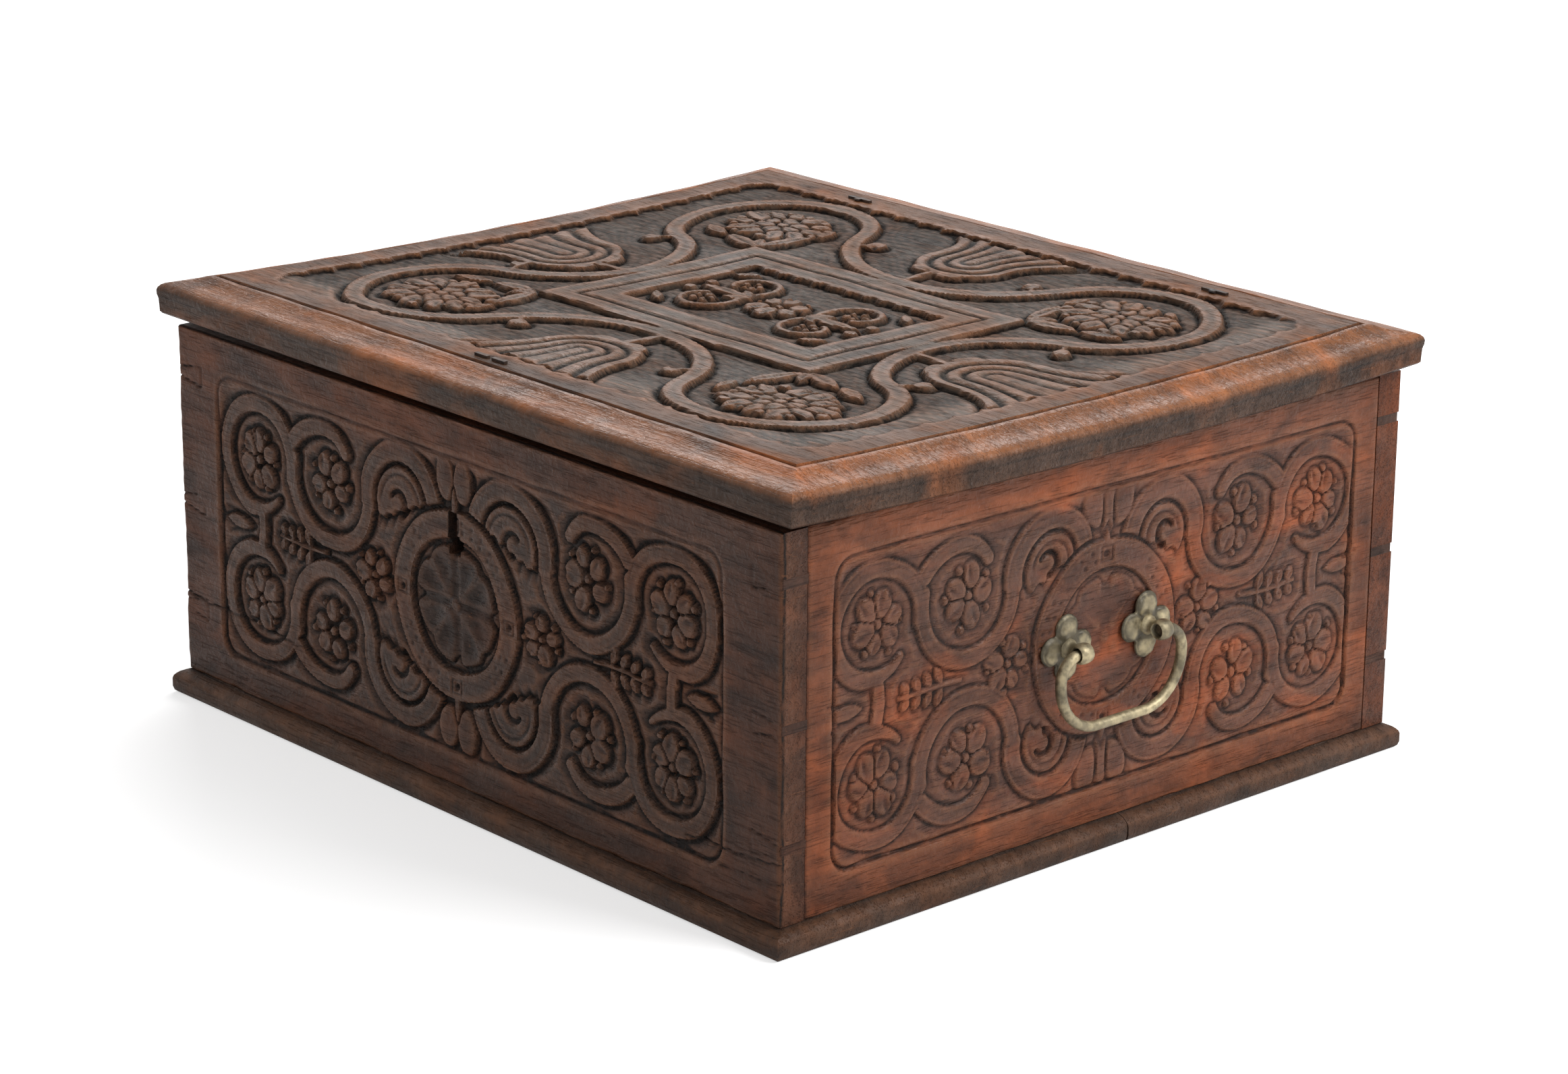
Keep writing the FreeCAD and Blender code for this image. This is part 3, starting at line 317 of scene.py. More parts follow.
def hearts(x, y, radius, seed):
    """Four heart petals on the diagonals: distance outside them and their height.

    A petal's reach falls in a shallow notch on its axis and in a deeper one where two petals meet. Its two
    halves are dished, a soft seam parts it from its neighbours, and a ring runs round the middle.
    """
    swing = 1.0 + 0.03 * waver(x, y, radius, seed)
    px, py = folded_sector(x * swing, y * swing, 4, math.pi / 4)
    angle = np.degrees(np.arctan2(py, px))
    reach = np.hypot(px, py)
    edge = radius * (0.99 - 0.07 * bell(angle, 7.0) - 0.17 * rise(np.abs(angle), 35.0, 44.0))
    distance = reach - edge
    dish = bell(px - 0.58 * radius, 0.27 * radius) * bell(np.abs(py) - 0.20 * radius, 0.17 * radius)
    height = -0.7 - 2.0 * dish
    height = height - 1.7 * bell(np.abs(angle) - 45.0, 150.0 / np.maximum(reach, 2.0)) * rise(reach, 3.0, 7.0)
    height = height - 0.35 * bell(py, 0.9) * rise(px, 0.50 * radius, 0.80 * radius)
    height = height - 0.8 * bell(reach - 4.2, 1.2)
    return distance, height


def fleur(u, v, lobes):
    """Fat rounded lobes on one stalk: each is an oval leaning by its turn, domed, with a seam between.

    A lobe holds its middle, half its width, half its length and its turn.
    """
    distance = capsule(u, v, (0.0, 50.0), (0.0, 62.0), 2.6)
    other = np.full(u.shape, FAR)
    dome = np.full(u.shape, 0.6)
    for cx, cy, half_across, half_along, turn in lobes:
        across = (u - cx) * math.cos(turn) - (v - cy) * math.sin(turn)
        along = (u - cx) * math.sin(turn) + (v - cy) * math.cos(turn)
        reach = np.hypot(across / half_across, along / half_along)
        one = (reach - 1.0) * half_across
        dome = np.where(one < distance, reach, dome)
        other = np.where(one < distance, distance, np.minimum(other, one))
        distance = np.minimum(distance, one)
    return distance, -0.1 - 0.5 * dome ** 2 - 1.5 * bell(other - distance, 1.1)


def stroke(x, y, start, end, width, depth):
    """A short gouge cut: a bell across the line between two points."""
    return depth * bell(capsule(x, y, start, end, 0.0), width)


# ---- Carved panel of the front and of the ends ----
# Every panel is drawn about the middle of its carved field. Places that repeat left and right, above and
# below, are drawn once in folded coordinates. A panel holds its half length, the middles of its two large
# rosettes, the radii of the vine's turn and arch, how deep the border's top line is, its carving's share
# of the full depth, and its fleurs: open ones stand on both sides of the middle, the others on it.
PANEL_HALF_HEIGHT = 80.5
PANEL_CORNER = 12.0
PANEL_MIDDLE_Z = FRONT_LOW[2] + 99.5
FRONT_PANEL_MIDDLE_X = -3.5
BORDER_LINE = 2.3
ROUNDEL_OUTER = 52.0
ROUNDEL_INNER = 36.0
ROUNDEL_MIDDLE = (ROUNDEL_OUTER + ROUNDEL_INNER) / 2
ROUNDEL_DOTS = 34
ROSETTE_RADIUS = 17.2
SIDE_ROSETTE_RADIUS = 15.0
SIDE_ROSETTE_PLACE = 69.5

FRONT_PANEL = {
    "half_length": 209.5,
    "first": (108.0, 41.5),
    "second": (172.5, 40.5),
    "first_radius": 33.5,
    "arch_radius": 29.0,
    "arch_height": 43.0,
    "top_line": 0.8,
    "fleur": ((7.6, 68.0, 8.2, 13.2, 0.06),),
    "open": True,
    "depth": 1.0,
    "seed": 1.0,
}
END_PANEL = {
    "half_length": 187.5,
    "first": (97.5, 42.0),
    "second": (159.0, 41.5),
    "first_radius": 32.0,
    "arch_radius": 25.0,
    "arch_height": 46.0,
    "top_line": 1.1,
    "fleur": ((0.0, 67.0, 6.2, 13.6, 0.0), (9.8, 69.5, 8.2, 12.4, 0.42), (-9.8, 69.5, 8.2, 12.4, -0.42)),
    "open": False,
    "depth": 0.52,
    "seed": 4.0,
}


def arch_middle(panel):
    """Middle of the vine's arch beside the roundel, in folded coordinates."""
    return panel["first"][0] - panel["first_radius"] - panel["arch_radius"], panel["arch_height"]


def nearest_curl(u, v, parts):
    """The least distance to several curls, and the place across the nearest of them."""
    distance = np.full(u.shape, FAR)
    across = np.full(u.shape, BESIDE)
    for centre, radii, turns, widths in parts:
        one, place = curl(u, v, centre, radii, turns, widths)
        across = np.where(one < distance, place, across)
        distance = np.minimum(distance, one)
    return distance, across


def vine(u, v, panel, half_width):
    """The running vine in folded coordinates: the least distance to its curls and the place across it.

    It leaves the roundel as an arch, passes under the first rosette and turns over and round the second;
    a branch curls over the first.
    """
    first, second = panel["first"], panel["second"]
    turn, arch = panel["first_radius"], panel["arch_radius"]
    back = second[0] - first[0] - turn
    width = half_width
    parts = (
        (arch_middle(panel), (arch, arch), (-8.0, 205.0), (1.2 * width, 1.2 * width)),
        (first, (turn, turn), (180.0, 372.0), (width, width)),
        (second, (back, back - 1.0), (190.0, -70.0), (width, width)),
        (second, (back - 1.0, back - 5.0), (-70.0, -128.0), (width, 0.45 * width)),
        (first, (turn + 2.5, 0.84 * turn), (28.0, 100.0), (1.05 * width, 0.9 * width)),
        (first, (0.84 * turn, 0.70 * turn), (100.0, 128.0), (0.9 * width, 0.8 * width)),
    )
    return nearest_curl(u, v, parts)


def roundel(x, y, seed):
    """The ring round the hearts: a line along each edge, four pierced squares and two rows of dots."""
    reach = np.hypot(x, y)
    ring = np.maximum(ROUNDEL_INNER - reach, reach - ROUNDEL_OUTER)
    edge_lines = bell(reach - ROUNDEL_INNER - 2.6, 0.7) + bell(reach - ROUNDEL_OUTER + 2.4, 0.7)
    height = -0.12 - 0.25 * edge_lines
    square_x, square_y = folded_sector(x, y, 4, 0.0)
    square_x = square_x - ROUNDEL_MIDDLE
    square = np.maximum(np.abs(square_x), np.abs(square_y)) - 3.7
    height = height - 0.75 * bell(square, 0.7) - 2.4 * bell(np.hypot(square_x, square_y), 1.9)
    dot_x, dot_y = folded_sector(x, y, ROUNDEL_DOTS, 0.1)
    dot_x = dot_x - ROUNDEL_MIDDLE
    rows = np.minimum(np.hypot(dot_x + 2.5, dot_y), np.hypot(dot_x - 2.5, dot_y - 1.5))
    kept = rise(square, 1.0, 2.5) * rise(waver(x, y, 50.0, seed), -0.4, 0.3)
    return ring, height - 0.7 * bell(rows, 1.2) * kept


def rosettes(x, y, panel):
    """The eight large rosettes in the vine's turns and the two smaller ones beside the roundel."""
    seed = panel["seed"]
    forms = []
    for side in (-1, 1):
        for level in (-1, 1):
            for place, centre in enumerate((panel["first"], panel["second"])):
                cx, cy = side * centre[0], level * centre[1]
                own_seed = seed + 3.1 * place + 1.3 * side + 0.7 * level + 5.0
                petals = 5 + (side + level + place) % 2
                forms.append(rose(x - cx, (y - cy) * 0.94, ROSETTE_RADIUS, own_seed, petals))
        own_x = (x - side * SIDE_ROSETTE_PLACE) * 0.95
        forms.append(rose(own_x, y, SIDE_ROSETTE_RADIUS, seed + side + 8.0, 5))
    return forms


def arch_leaf(u, v, panel, vine_half_width):
    """The leaf inside an arch: it follows the arch, keeps clear of the roundel and ends in a ragged slope."""
    arch = arch_middle(panel)
    hub_reach = np.hypot(u - arch[0], v - arch[1])
    edge = panel["arch_radius"] - 1.2 * vine_half_width - 1.5
    slope = 34.0 - v + 0.34 * (arch[0] + 15.0 - u) + 2.2 * np.abs(np.sin(0.42 * u))
    leaf = np.maximum(np.maximum(hub_reach - edge, slope), ROUNDEL_OUTER + 1.4 - np.hypot(u, v))
    turn = np.degrees(np.arctan2(v - arch[1], u - arch[0]))
    return leaf, -0.35 - 0.8 * bell(hub_reach - edge + 4.6, 0.9) * rise(turn, -10.0, 30.0)


def sprig(u, v, root):
    """A straight stem along the panel's middle line with four pairs of leaves, each smaller than the last."""
    stem = capsule(u, v, (root + 4.0, 0.0), (root + 46.0, 0.0), 1.6)
    leaves = np.full(u.shape, FAR)
    for step in range(4):
        own_root = (root + 17.0 + 8.0 * step, 0.5)
        leaves = np.minimum(leaves, lens(u, v, own_root, math.radians(62.0), 11.5 - step, 6.2))
    return np.minimum(stem, leaves), -0.35 - 0.5 * bell(leaves + 3.0, 0.9)


def panel_forms(x, y, panel, carving):
    """Everything that stands in a panel, from the vine to the ties and leaves at its two ends."""
    u, v = np.abs(x), np.abs(y)
    distance, across = vine(u, v, panel, carving.band_half_width)
    distance = np.maximum(distance, ROUNDEL_OUTER + 1.7 - np.hypot(x, y))
    height = -0.15 - 0.30 * bell(across - 0.50, 0.14) - 0.10 * across ** 2
    last = panel["second"][0]
    return [
        (distance, np.where(np.abs(across) <= 1.0, height, -0.2)),
        roundel(x, y, panel["seed"]),
        hearts(x, y, ROUNDEL_INNER - 3.2, panel["seed"]),
        *rosettes(x, y, panel),
        arch_leaf(u, v, panel, carving.band_half_width),
        fleur(u if panel["open"] else x, v, panel["fleur"]),
        sprig(u, v, panel["first"][0]),
        (capsule(u, v, (last - 2.0, 0.0), (last - 1.0, 9.0), 4.2), np.full(u.shape, -0.3)),
        (lens(u, v, (last + 8.0, 0.0), 0.0, 25.0, 9.0), np.full(u.shape, -0.45)),
    ]


def relief(forms, depth, ground_rise, edge_width):
    """Height of a carved ground with forms standing in it, and the distance to the nearest form.

    The ground is deepest in a groove beside a form and rises away from it. Each form climbs from the
    ground to its own height across the run of its cut edge, and the highest one shows.
    """
    nearest = np.min([distance for distance, _ in forms], axis=0)
    ground = -depth + ground_rise * rise(nearest, 0.8, 7.0)
    ground = np.minimum(ground, -0.2) - 0.30 * depth * bell(nearest - 0.5, 0.8)
    surface = ground
    for distance, height in forms:
        share = 1.0 - rise(distance, -edge_width, 0.15 * edge_width)
        surface = np.maximum(surface, ground + (height - ground) * share)
    return surface, nearest


def tool_marks(x, y, seed):
    """Shallow facets left by the gouge: ripples whose direction drifts slowly."""
    drift = 2.2 * waver(x, y, 55.0, seed)
    return 0.10 * np.sin(0.95 * y + 1.4 * drift + 0.18 * x) * np.sin(0.35 * x + 2.0 * drift)


def panel_height(x, y, panel, carving):
    """Height of a carved board's face about its field's middle: the relief inside an incised border.

    Two short hooks are cut beside each arch, and pairs of strokes beyond the vine's ends.
    """
    seed = panel["seed"]
    wx = x + carving.waver * waver(x, y, 75.0, seed)
    wy = y + carving.waver * waver(x, y, 60.0, seed + 3.0)
    surface, nearest = relief(panel_forms(wx, wy, panel, carving), carving.depth * panel["depth"],
                              carving.ground_rise * panel["depth"], carving.edge_width)
    surface = surface + tool_marks(x, y, seed) * rise(nearest, 0.0, 4.0)
    arch = arch_middle(panel)
    middle = (arch[0] + 2.0, arch[1] + 1.0)
    hook = curl(np.abs(wx), np.abs(wy), middle, (6.6, 5.6), (40.0, 255.0), (0.5, 1.3))[0]
    surface = surface - 2.1 * bell(np.maximum(hook, 0.0), 0.8)
    field = rounded_rectangle(x, y, panel["half_length"], PANEL_HALF_HEIGHT, PANEL_CORNER)
    field = field + 0.35 * waver(x, y, 40.0, seed + 5.0)
    line_depth = BORDER_LINE - (BORDER_LINE - panel["top_line"]) * rise(y, 30.0, 74.0)
    inside = rise(-field, 0.0, 2.0 + 9.0 * rise(y, 50.0, 74.0))
    surface = surface * inside - line_depth * bell(field + 0.3, 1.05)
    end = panel["second"][0] + 24.0
    for sign in (-1, 1):
        for level, reach in ((4.5, 9.0), (-5.5, 6.5)):
            start = (sign * end, level)
            finish = (sign * (end + reach * 0.9), level + 0.4 * level)
            surface = surface - stroke(x, y, start, finish, 1.0, 0.8)
    return surface + 0.09 * waver(x, y, 33.0, seed + 7.0)


# ---- Lid ----
LID_MIDDLE_Y = (LID_LOW[1] + LID_HIGH[1]) / 2
LID_HALF_X = (LID_HIGH[0] - LID_LOW[0]) / 2
LID_HALF_Y = (LID_HIGH[1] - LID_LOW[1]) / 2
LID_THICKNESS = 23.0
LID_CUP = 5.0
LOBE = (134.0, 116.0)
LOBE_RADIUS = 57.0
FRAME_HALF = (108.0, 80.0)
FRAME_GROOVE = (91.0, 65.0)
FRAME_PANEL = (74.0, 47.0)
LID_FIELD = (215.0, 179.5)
WAIST_LAP = 2.0
TULIP_REACH = 82.0
NOTCH_PITCH = 13.0
LID_GROUND_RISE = 0.5
LID_EDGE_WIDENING = 1.25


def waist(lobe_along, lobe_across, line):
    """Radius of the circle that touches two lobes and comes down to a line between them."""
    gap = line - lobe_across
    return (lobe_along ** 2 + gap ** 2 - LOBE_RADIUS ** 2) / (2 * (LOBE_RADIUS - gap))


def lobed_band(u, v, half_width):
    """The closed band of four lobes and four waists, in folded coordinates: distance and place across."""
    line_y = FRAME_HALF[1] + half_width - WAIST_LAP
    line_x = FRAME_HALF[0] + half_width - WAIST_LAP
    long_waist = waist(LOBE[0], LOBE[1], line_y)
    short_waist = waist(LOBE[1], LOBE[0], line_x)
    long_turn = math.degrees(math.atan2(line_y + long_waist - LOBE[1], LOBE[0]))
    short_turn = math.degrees(math.atan2(line_x + short_waist - LOBE[0], LOBE[1]))
    widths = (half_width, half_width)
    parts = (
        (LOBE, (LOBE_RADIUS, LOBE_RADIUS), (-90.0 + short_turn, 180.0 - long_turn), widths),
        ((0.0, line_y + long_waist), (long_waist, long_waist), (-90.0, -long_turn), widths),
        ((line_x + short_waist, 0.0), (short_waist, short_waist), (90.0 + short_turn, 180.0), widths),
    )
    return nearest_curl(u, v, parts)


def tulip(a, b, reach, seed):
    """A tulip that opens along b: nested ribs in the shape of a U on a stalk with two sepals.

    The ribs are level lines of one number: in the bulb's round foot it is the distance from the foot's
    middle over the half width, above it the distance from the axis over a half width that flares. The
    flower is drawn TULIP_REACH long and stretched to its reach.
    """
    a = a + 1.5 * waver(a, b, 60.0, seed)
    b = b * TULIP_REACH / reach
    foot, half_width, half_height = 46.0, 30.0, 27.0
    flare = half_width * (1.0 + 0.00036 * np.maximum(b - foot, 0.0) ** 2)
    ring = np.hypot(a / flare, np.minimum(b - foot, 0.0) / half_height)
    bulb = (ring - 1.14) * half_width
    tips = b - TULIP_REACH + 2.0 - 3.0 * np.abs(np.cos(1.5 * math.pi * ring))
    distance = np.maximum(bulb, tips)
    height = -0.15
    for place, width, depth in ((0.83, 0.07, 1.9), (0.50, 0.065, 1.7), (0.19, 0.06, 1.1)):
        height = height - depth * bell(ring - place, width)
    stalk = capsule(a, b, (0.0, -4.0), (0.0, 22.0), 3.2)
    sepals = lens(np.abs(a), b, (2.0, 14.0), math.radians(20.0), 21.0, 8.5)
    low = np.minimum(stalk, sepals)
    height = np.where(distance < low, height, -0.35 - 0.9 * bell(np.hypot(np.abs(a) - 8.0, b - 9.0), 2.6))
    return np.minimum(distance, low), height


# The rose of each lobe: the side and level of its corner, and its middle there.
LOBE_ROSES = (((1, 1), (138.0, 121.0)), ((-1, 1), (135.0, 121.0)), ((-1, -1), (137.0, 125.0)),
              ((1, -1), (143.0, 128.0)))


def flower_spray(u, v, centre, seed):
    """The forms inside a lobe: a broad ragged rose, with leaves that grow from the frame's corner."""
    x, y = u - centre[0], v - centre[1]
    slant = 0.12 * math.sin(3.0 * seed)
    forms = [rose(x * 0.86 + slant * y, y * 1.06 - slant * x, 30.0, seed + 11.0, 8, 2)]
    corner = (FRAME_HALF[0] - 1.0, FRAME_HALF[1] - 1.0)
    for degrees, length, width in ((12.0, 36.0, 12.5), (97.0, 40.0, 12.0), (52.0, 20.0, 9.0)):
        turn = math.radians(degrees)
        leaf = lens(u, v, corner, turn, length, width)
        across = -(u - corner[0]) * math.sin(turn) + (v - corner[1]) * math.cos(turn)
        forms.append((leaf, -0.25 - 0.8 * bell(across, 0.9)))
    far = np.minimum(
        lens(u, v, (corner[0] + 34.0, corner[1] + 6.0), math.radians(18.0), 27.0, 11.0),
        lens(u, v, (corner[0] - 8.0, corner[1] + 38.0), math.radians(80.0), 20.0, 9.0))
    forms.append((far, -0.3 - 0.8 * bell(far + 4.0, 1.2)))
    return forms


def middle_ornament(x, y):
    """The forms in the framed panel: a rose between curled sprays of leaves and small roses."""
    forms = [rose(x, y, 19.0, 2.0, 6)]
    side = np.abs(x)
    for level in (1, -1):
        stem, across = curl(side, y * level, (43.0, 17.0), (20.0, 9.0), (215.0, -60.0), (3.2, 3.0))
        forms.append((stem, -0.15 - 0.5 * across ** 2))
        forms.append(rose(side - 43.0, y * level - 18.0, 9.0, 3.0 + level, 5))
    for turn, length, width in ((0.0, 46.0, 10.0), (28.0, 20.0, 8.0), (-28.0, 20.0, 8.0)):
        leaf = lens(side, y, (22.0, 0.0), math.radians(turn), length, width)
        forms.append((leaf, -0.25 - 0.7 * bell(leaf + 0.45 * width, 1.0)))
    corners = np.minimum(
        lens(side, np.abs(y), (55.0, 40.0), math.radians(-35.0), 20.0, 8.0),
        circle(side, np.abs(y), 66.0, 8.0, 4.6))
    forms.append((corners, -0.25 - 0.6 * bell(corners + 4.0, 1.4)))
    return forms


def lid_frame(x, y, opening):
    """The frame round the middle panel, with a groove along it and small notches in its rear inner edge."""
    outside = rounded_rectangle(x, y, FRAME_HALF[0], FRAME_HALF[1], 1.5)
    groove = rounded_rectangle(x, y, FRAME_GROOVE[0], FRAME_GROOVE[1], 1.0)
    notch = 2.4 * np.abs(np.sin(x * math.pi / NOTCH_PITCH)) * rise(y, 30.0, 44.0)
    return np.maximum(outside, -(opening - notch)), -0.12 - 1.5 * bell(groove, 1.5)


def buds(u, v):
    """Round buds on short stems that grow from the band beside the tulips, each with a pit."""
    round_buds = np.minimum(circle(u, v, 62.0, 131.0, 6.4), circle(u, v, 165.0, 49.0, 6.4))
    stems = np.minimum(
        capsule(u, v, (62.0, 132.0), (74.0, 116.0), 2.4),
        capsule(u, v, (165.0, 49.0), (156.0, 62.0), 2.4))
    pits = np.minimum(np.hypot(u - 60.0, v - 127.0), np.hypot(u - 168.0, v - 45.0))
    return np.minimum(round_buds, stems), -0.2 - 2.0 * bell(pits, 2.3)


def within(forms, place):
    """The same forms where the place is true, and none elsewhere."""
    return [(np.where(place, distance, FAR), height) for distance, height in forms]


def lid_forms(x, y, carving):
    """Everything that stands on the lid's ground: band, frame, roses, tulips, buds and middle panel."""
    u, v = np.abs(x), np.abs(y)
    distance, across = lobed_band(u, v, carving.lid_band_half_width)
    height = -0.45 + 0.35 * across ** 2 - 0.25 * bell(across - 0.55, 0.12)
    opening = rounded_rectangle(x, y, FRAME_PANEL[0], FRAME_PANEL[1], 1.0)
    forms = [(distance, np.where(np.abs(across) <= 1.0, height, -0.2)), lid_frame(x, y, opening)]
    for seed, ((side, level), centre) in enumerate(LOBE_ROSES, 1):
        own_x, own_y = x * side, y * level
        forms += within(flower_spray(own_x, own_y, centre, seed), (own_x > 0) & (own_y > 0))
    # Each tulip has its coordinates across and along its axis, its reach and its seed.
    for a, b, reach, seed in (
            (x - 3.0, y - 96.0, 83.0, 1.0), (x - 6.0, -y - 97.0, 84.0, 2.0),
            (y + 10.0, x - 122.0, 97.0, 3.0), (y + 12.0, -x - 120.0, 89.0, 4.0)):
        forms.append(tulip(a, b, reach, seed))
    forms.append(buds(u, v))
    return forms + within(middle_ornament(x, y), opening < -2.0)


def lid_height(x, y, carving):
    """Height of the lid's top about its middle: the relief inside a scalloped field.

    It fades towards the right end and the front edge, where hands have worn it.
    """
    wx = x + 1.3 * carving.waver * waver(x, y, 90.0, 8.0)
    wy = y + 1.3 * carving.waver * waver(x, y, 80.0, 9.0)
    edge_width = carving.edge_width * LID_EDGE_WIDENING
    surface, nearest = relief(lid_forms(wx, wy, carving), carving.lid_depth, LID_GROUND_RISE, edge_width)
    fade = np.maximum(rise(x, 182.0, 214.0), rise(-y, 150.0, 178.0)) * rise(nearest, 0.5, 6.0)
    surface = surface * (1.0 - 0.7 * fade)
    surface = surface + 1.5 * tool_marks(x, y, 6.0) * rise(nearest, 0.0, 3.0)
    surface = surface * rise(-lid_field(x, y, carving), -0.4, 1.2)
    return surface + 0.12 * waver(x, y, 60.0, 2.0)


def lid_field(x, y, carving):
    """Distance outside the lid's scalloped field: a rounded rectangle whose edge bites out in arcs."""
    field = rounded_rectangle(x, y, LID_FIELD[0], LID_FIELD[1], 14.0)
    beside = np.abs(np.abs(x) - LID_FIELD[0]) < np.abs(np.abs(y) - LID_FIELD[1])
    run = np.where(beside, y, x) + 1.5 * waver(x, y, 45.0, 3.0)
    return field - carving.scallop_depth * np.sqrt(np.abs(np.sin(run * math.pi / carving.scallop_pitch)))


# ---- Meshes ----
def lines(*stretches):
    """Grid lines: for each stretch of start, end and step, evenly spaced values, joined and sorted."""
    values = []
    for start, end, step in stretches:
        values.extend(np.linspace(start, end, max(2, int(round(abs(end - start) / step)) + 1)))
    return np.unique(np.round(values, 4))


def worn_edge(x, y, limits, radius, seed):
    """How far the face falls towards its edges: a quarter round whose radius the wear makes uneven.

    Fall is r less the root of r squared less (r - e) squared, where e is the distance to the edge.
    """
    edge = np.minimum(np.minimum(x - limits[0], limits[1] - x), np.minimum(y - limits[2], limits[3] - y))
    uneven = radius * (1.0 + 0.45 * waver(x, y, 38.0, seed) + 0.25 * waver(x, y, 11.0, seed + 1.0))
    uneven = np.maximum(uneven, 0.35)
    short = np.clip(uneven - edge, 0.0, uneven)
    return uneven - np.sqrt(np.maximum(uneven ** 2 - short ** 2, 0.0))


def blurred(values, passes):
    """A grid smoothed by repeated averages of each value with its four neighbours."""
    result = values.copy()
    for _ in range(passes):
        padded = np.pad(result, 1, mode="edge")
        result = (padded[:-2, 1:-1] + padded[2:, 1:-1] + padded[1:-1, :-2] + padded[1:-1, 2:]) / 4.0
    return result


# How many averages blur a height to that of its close, near and far surroundings.
CLOSE_PASSES, NEAR_PASSES, FAR_PASSES = 3, 12, 110


def ramp(value, start, run):
    """0 up to a start, then evenly up to 1 over a run."""
    return np.clip((value - start) / run, 0.0, 1.0)


def wear_masks(height, pool=0.4):
    """Two masks from a height grid: dirt where a point lies low, rubbing and painted highlight where it
    stands proud.

    Dirt is what a point lies under its far surroundings, by the share that pools on wide sunk ground, and
    what it lies under its near ones. Rubbing, which also paints a highlight on the crests, is what it stands
    over its near and its close surroundings.
    """
    close = blurred(height, CLOSE_PASSES)
    near = blurred(height, NEAR_PASSES)
    far = blurred(height, FAR_PASSES)
    recess = pool * ramp(far - height, 0.45, 2.2) + 0.95 * ramp(near - height, 0.10, 0.62)
    # The crest mask lightens the wood as rubbing and as a painted highlight.
    crest = 0.7 * ramp(height - near, 0.0, 0.45) + 0.5 * ramp(height - close, 0.0, 0.10)
    return np.clip(recess, 0.0, 1.0), np.clip(crest, 0.0, 1.0)


def boundary_loop(nx, ny):
    """Indices of a grid's outline, counter-clockwise from its first corner."""
    bottom = np.arange(nx)
    right = (np.arange(1, ny) * nx) + nx - 1
    top = (ny - 1) * nx + np.arange(nx - 2, -1, -1)
    left = np.arange(ny - 2, 0, -1) * nx
    return np.concatenate([bottom, right, top, left])


def carved_slab(xs, ys, height, profile, masks=None, wobble=0.0):
    """A closed board: a carved face on a grid, edge loops under it and a plain back.

    The face is z = height(x, y). A profile entry holds a loop's inset, height, recess and crest, and its
    field where it has one. The loop is the face's outline with its four sides moved in (low x, high x,
    low y, high y) and set at its own z, give or take the wobble. The last loop is level, and strips
    between its two ends close the back. It returns the points, the faces and the masks at the points.
    """
    nx, ny = len(xs), len(ys)
    grid_x, grid_y = np.meshgrid(xs, ys)
    face = np.stack([grid_x, grid_y, height], axis=-1).reshape(-1, 3)
    outline = boundary_loop(nx, ny)
    count = len(outline)
    rim = face[outline]
    share_x = (rim[:, 0] - xs[0]) / (xs[-1] - xs[0])
    share_y = (rim[:, 1] - ys[0]) / (ys[-1] - ys[0])
    loops = []
    for inset, z, *_ in profile:
        low_x, high_x, low_y, high_y = inset if isinstance(inset, tuple) else (inset,) * 4
        loop = np.empty((count, 3))
        loop[:, 0] = xs[0] + low_x + (xs[-1] - high_x - xs[0] - low_x) * share_x
        loop[:, 1] = ys[0] + low_y + (ys[-1] - high_y - ys[0] - low_y) * share_y
        loop[:, 2] = z + wobble * waver(loop[:, 0] + z, loop[:, 1] - z, 47.0, 5.0)
        loops.append(loop)
    loops[-1][:, 2] = profile[-1][1]
    points = np.concatenate([face] + loops)

    corner = (np.arange(ny - 1)[:, None] * nx + np.arange(nx - 1)).ravel()
    quads = [np.stack([corner, corner + 1, corner + nx + 1, corner + nx], axis=1)]
    upper = outline
    following = np.roll(np.arange(count), -1)
    for k in range(len(loops)):
        lower = len(face) + k * count + np.arange(count)
        quads.append(np.stack([upper, lower, lower[following], upper[following]], axis=1))
        upper = lower
    left = upper[(count - np.arange(ny)) % count]
    right = upper[nx - 1 + np.arange(ny)]
    quads.append(np.stack([left[1:-2], left[2:-1], right[2:-1], right[1:-2]], axis=1))
    faces = np.concatenate(quads).tolist()
    faces.append([left[1], right[1]] + upper[:nx][::-1].tolist())
    far_row = upper[nx + ny - 2:2 * nx + ny - 2][::-1].tolist()
    faces.append([left[-2]] + far_row + [right[-2]])
    fields = {}
    for place, name in ((2, "recess"), (3, "crest"), (4, "field")):
        values = np.zeros(len(points))
        if masks and name in masks:
            values[:len(face)] = masks[name].ravel()
        for k, entry in enumerate(profile):
            start = len(face) + k * count
            values[start:start + count] = entry[place] if place < len(entry) else 0.0
        fields[name] = values
    return points, faces, fields


def joined(parts):
    """Several shells as one list of points and faces."""
    points, faces, base = [], [], 0
    for shell_points, shell_faces in parts:
        points.append(shell_points)
        faces.extend([[index + base for index in face] for face in shell_faces])
        base += len(shell_points)
    return np.concatenate(points), faces


def tube_grid(count, sides, closed=False):
    """Faces of a surface whose points stand in rings.

    The last ring meets the first where the surface is closed; otherwise one face closes each end.
    """
    i = np.arange(count if closed else count - 1)[:, None]
    j = np.arange(sides)
    a = i * sides + j
    b = i * sides + (j + 1) % sides
    c = ((i + 1) % count) * sides + (j + 1) % sides
    d = ((i + 1) % count) * sides + j
    faces = np.stack([a, b, c, d], axis=-1).reshape(-1, 4).tolist()
    if not closed:
        faces.append(list(range(sides - 1, -1, -1)))
        faces.append(list(range((count - 1) * sides, count * sides)))
    return faces


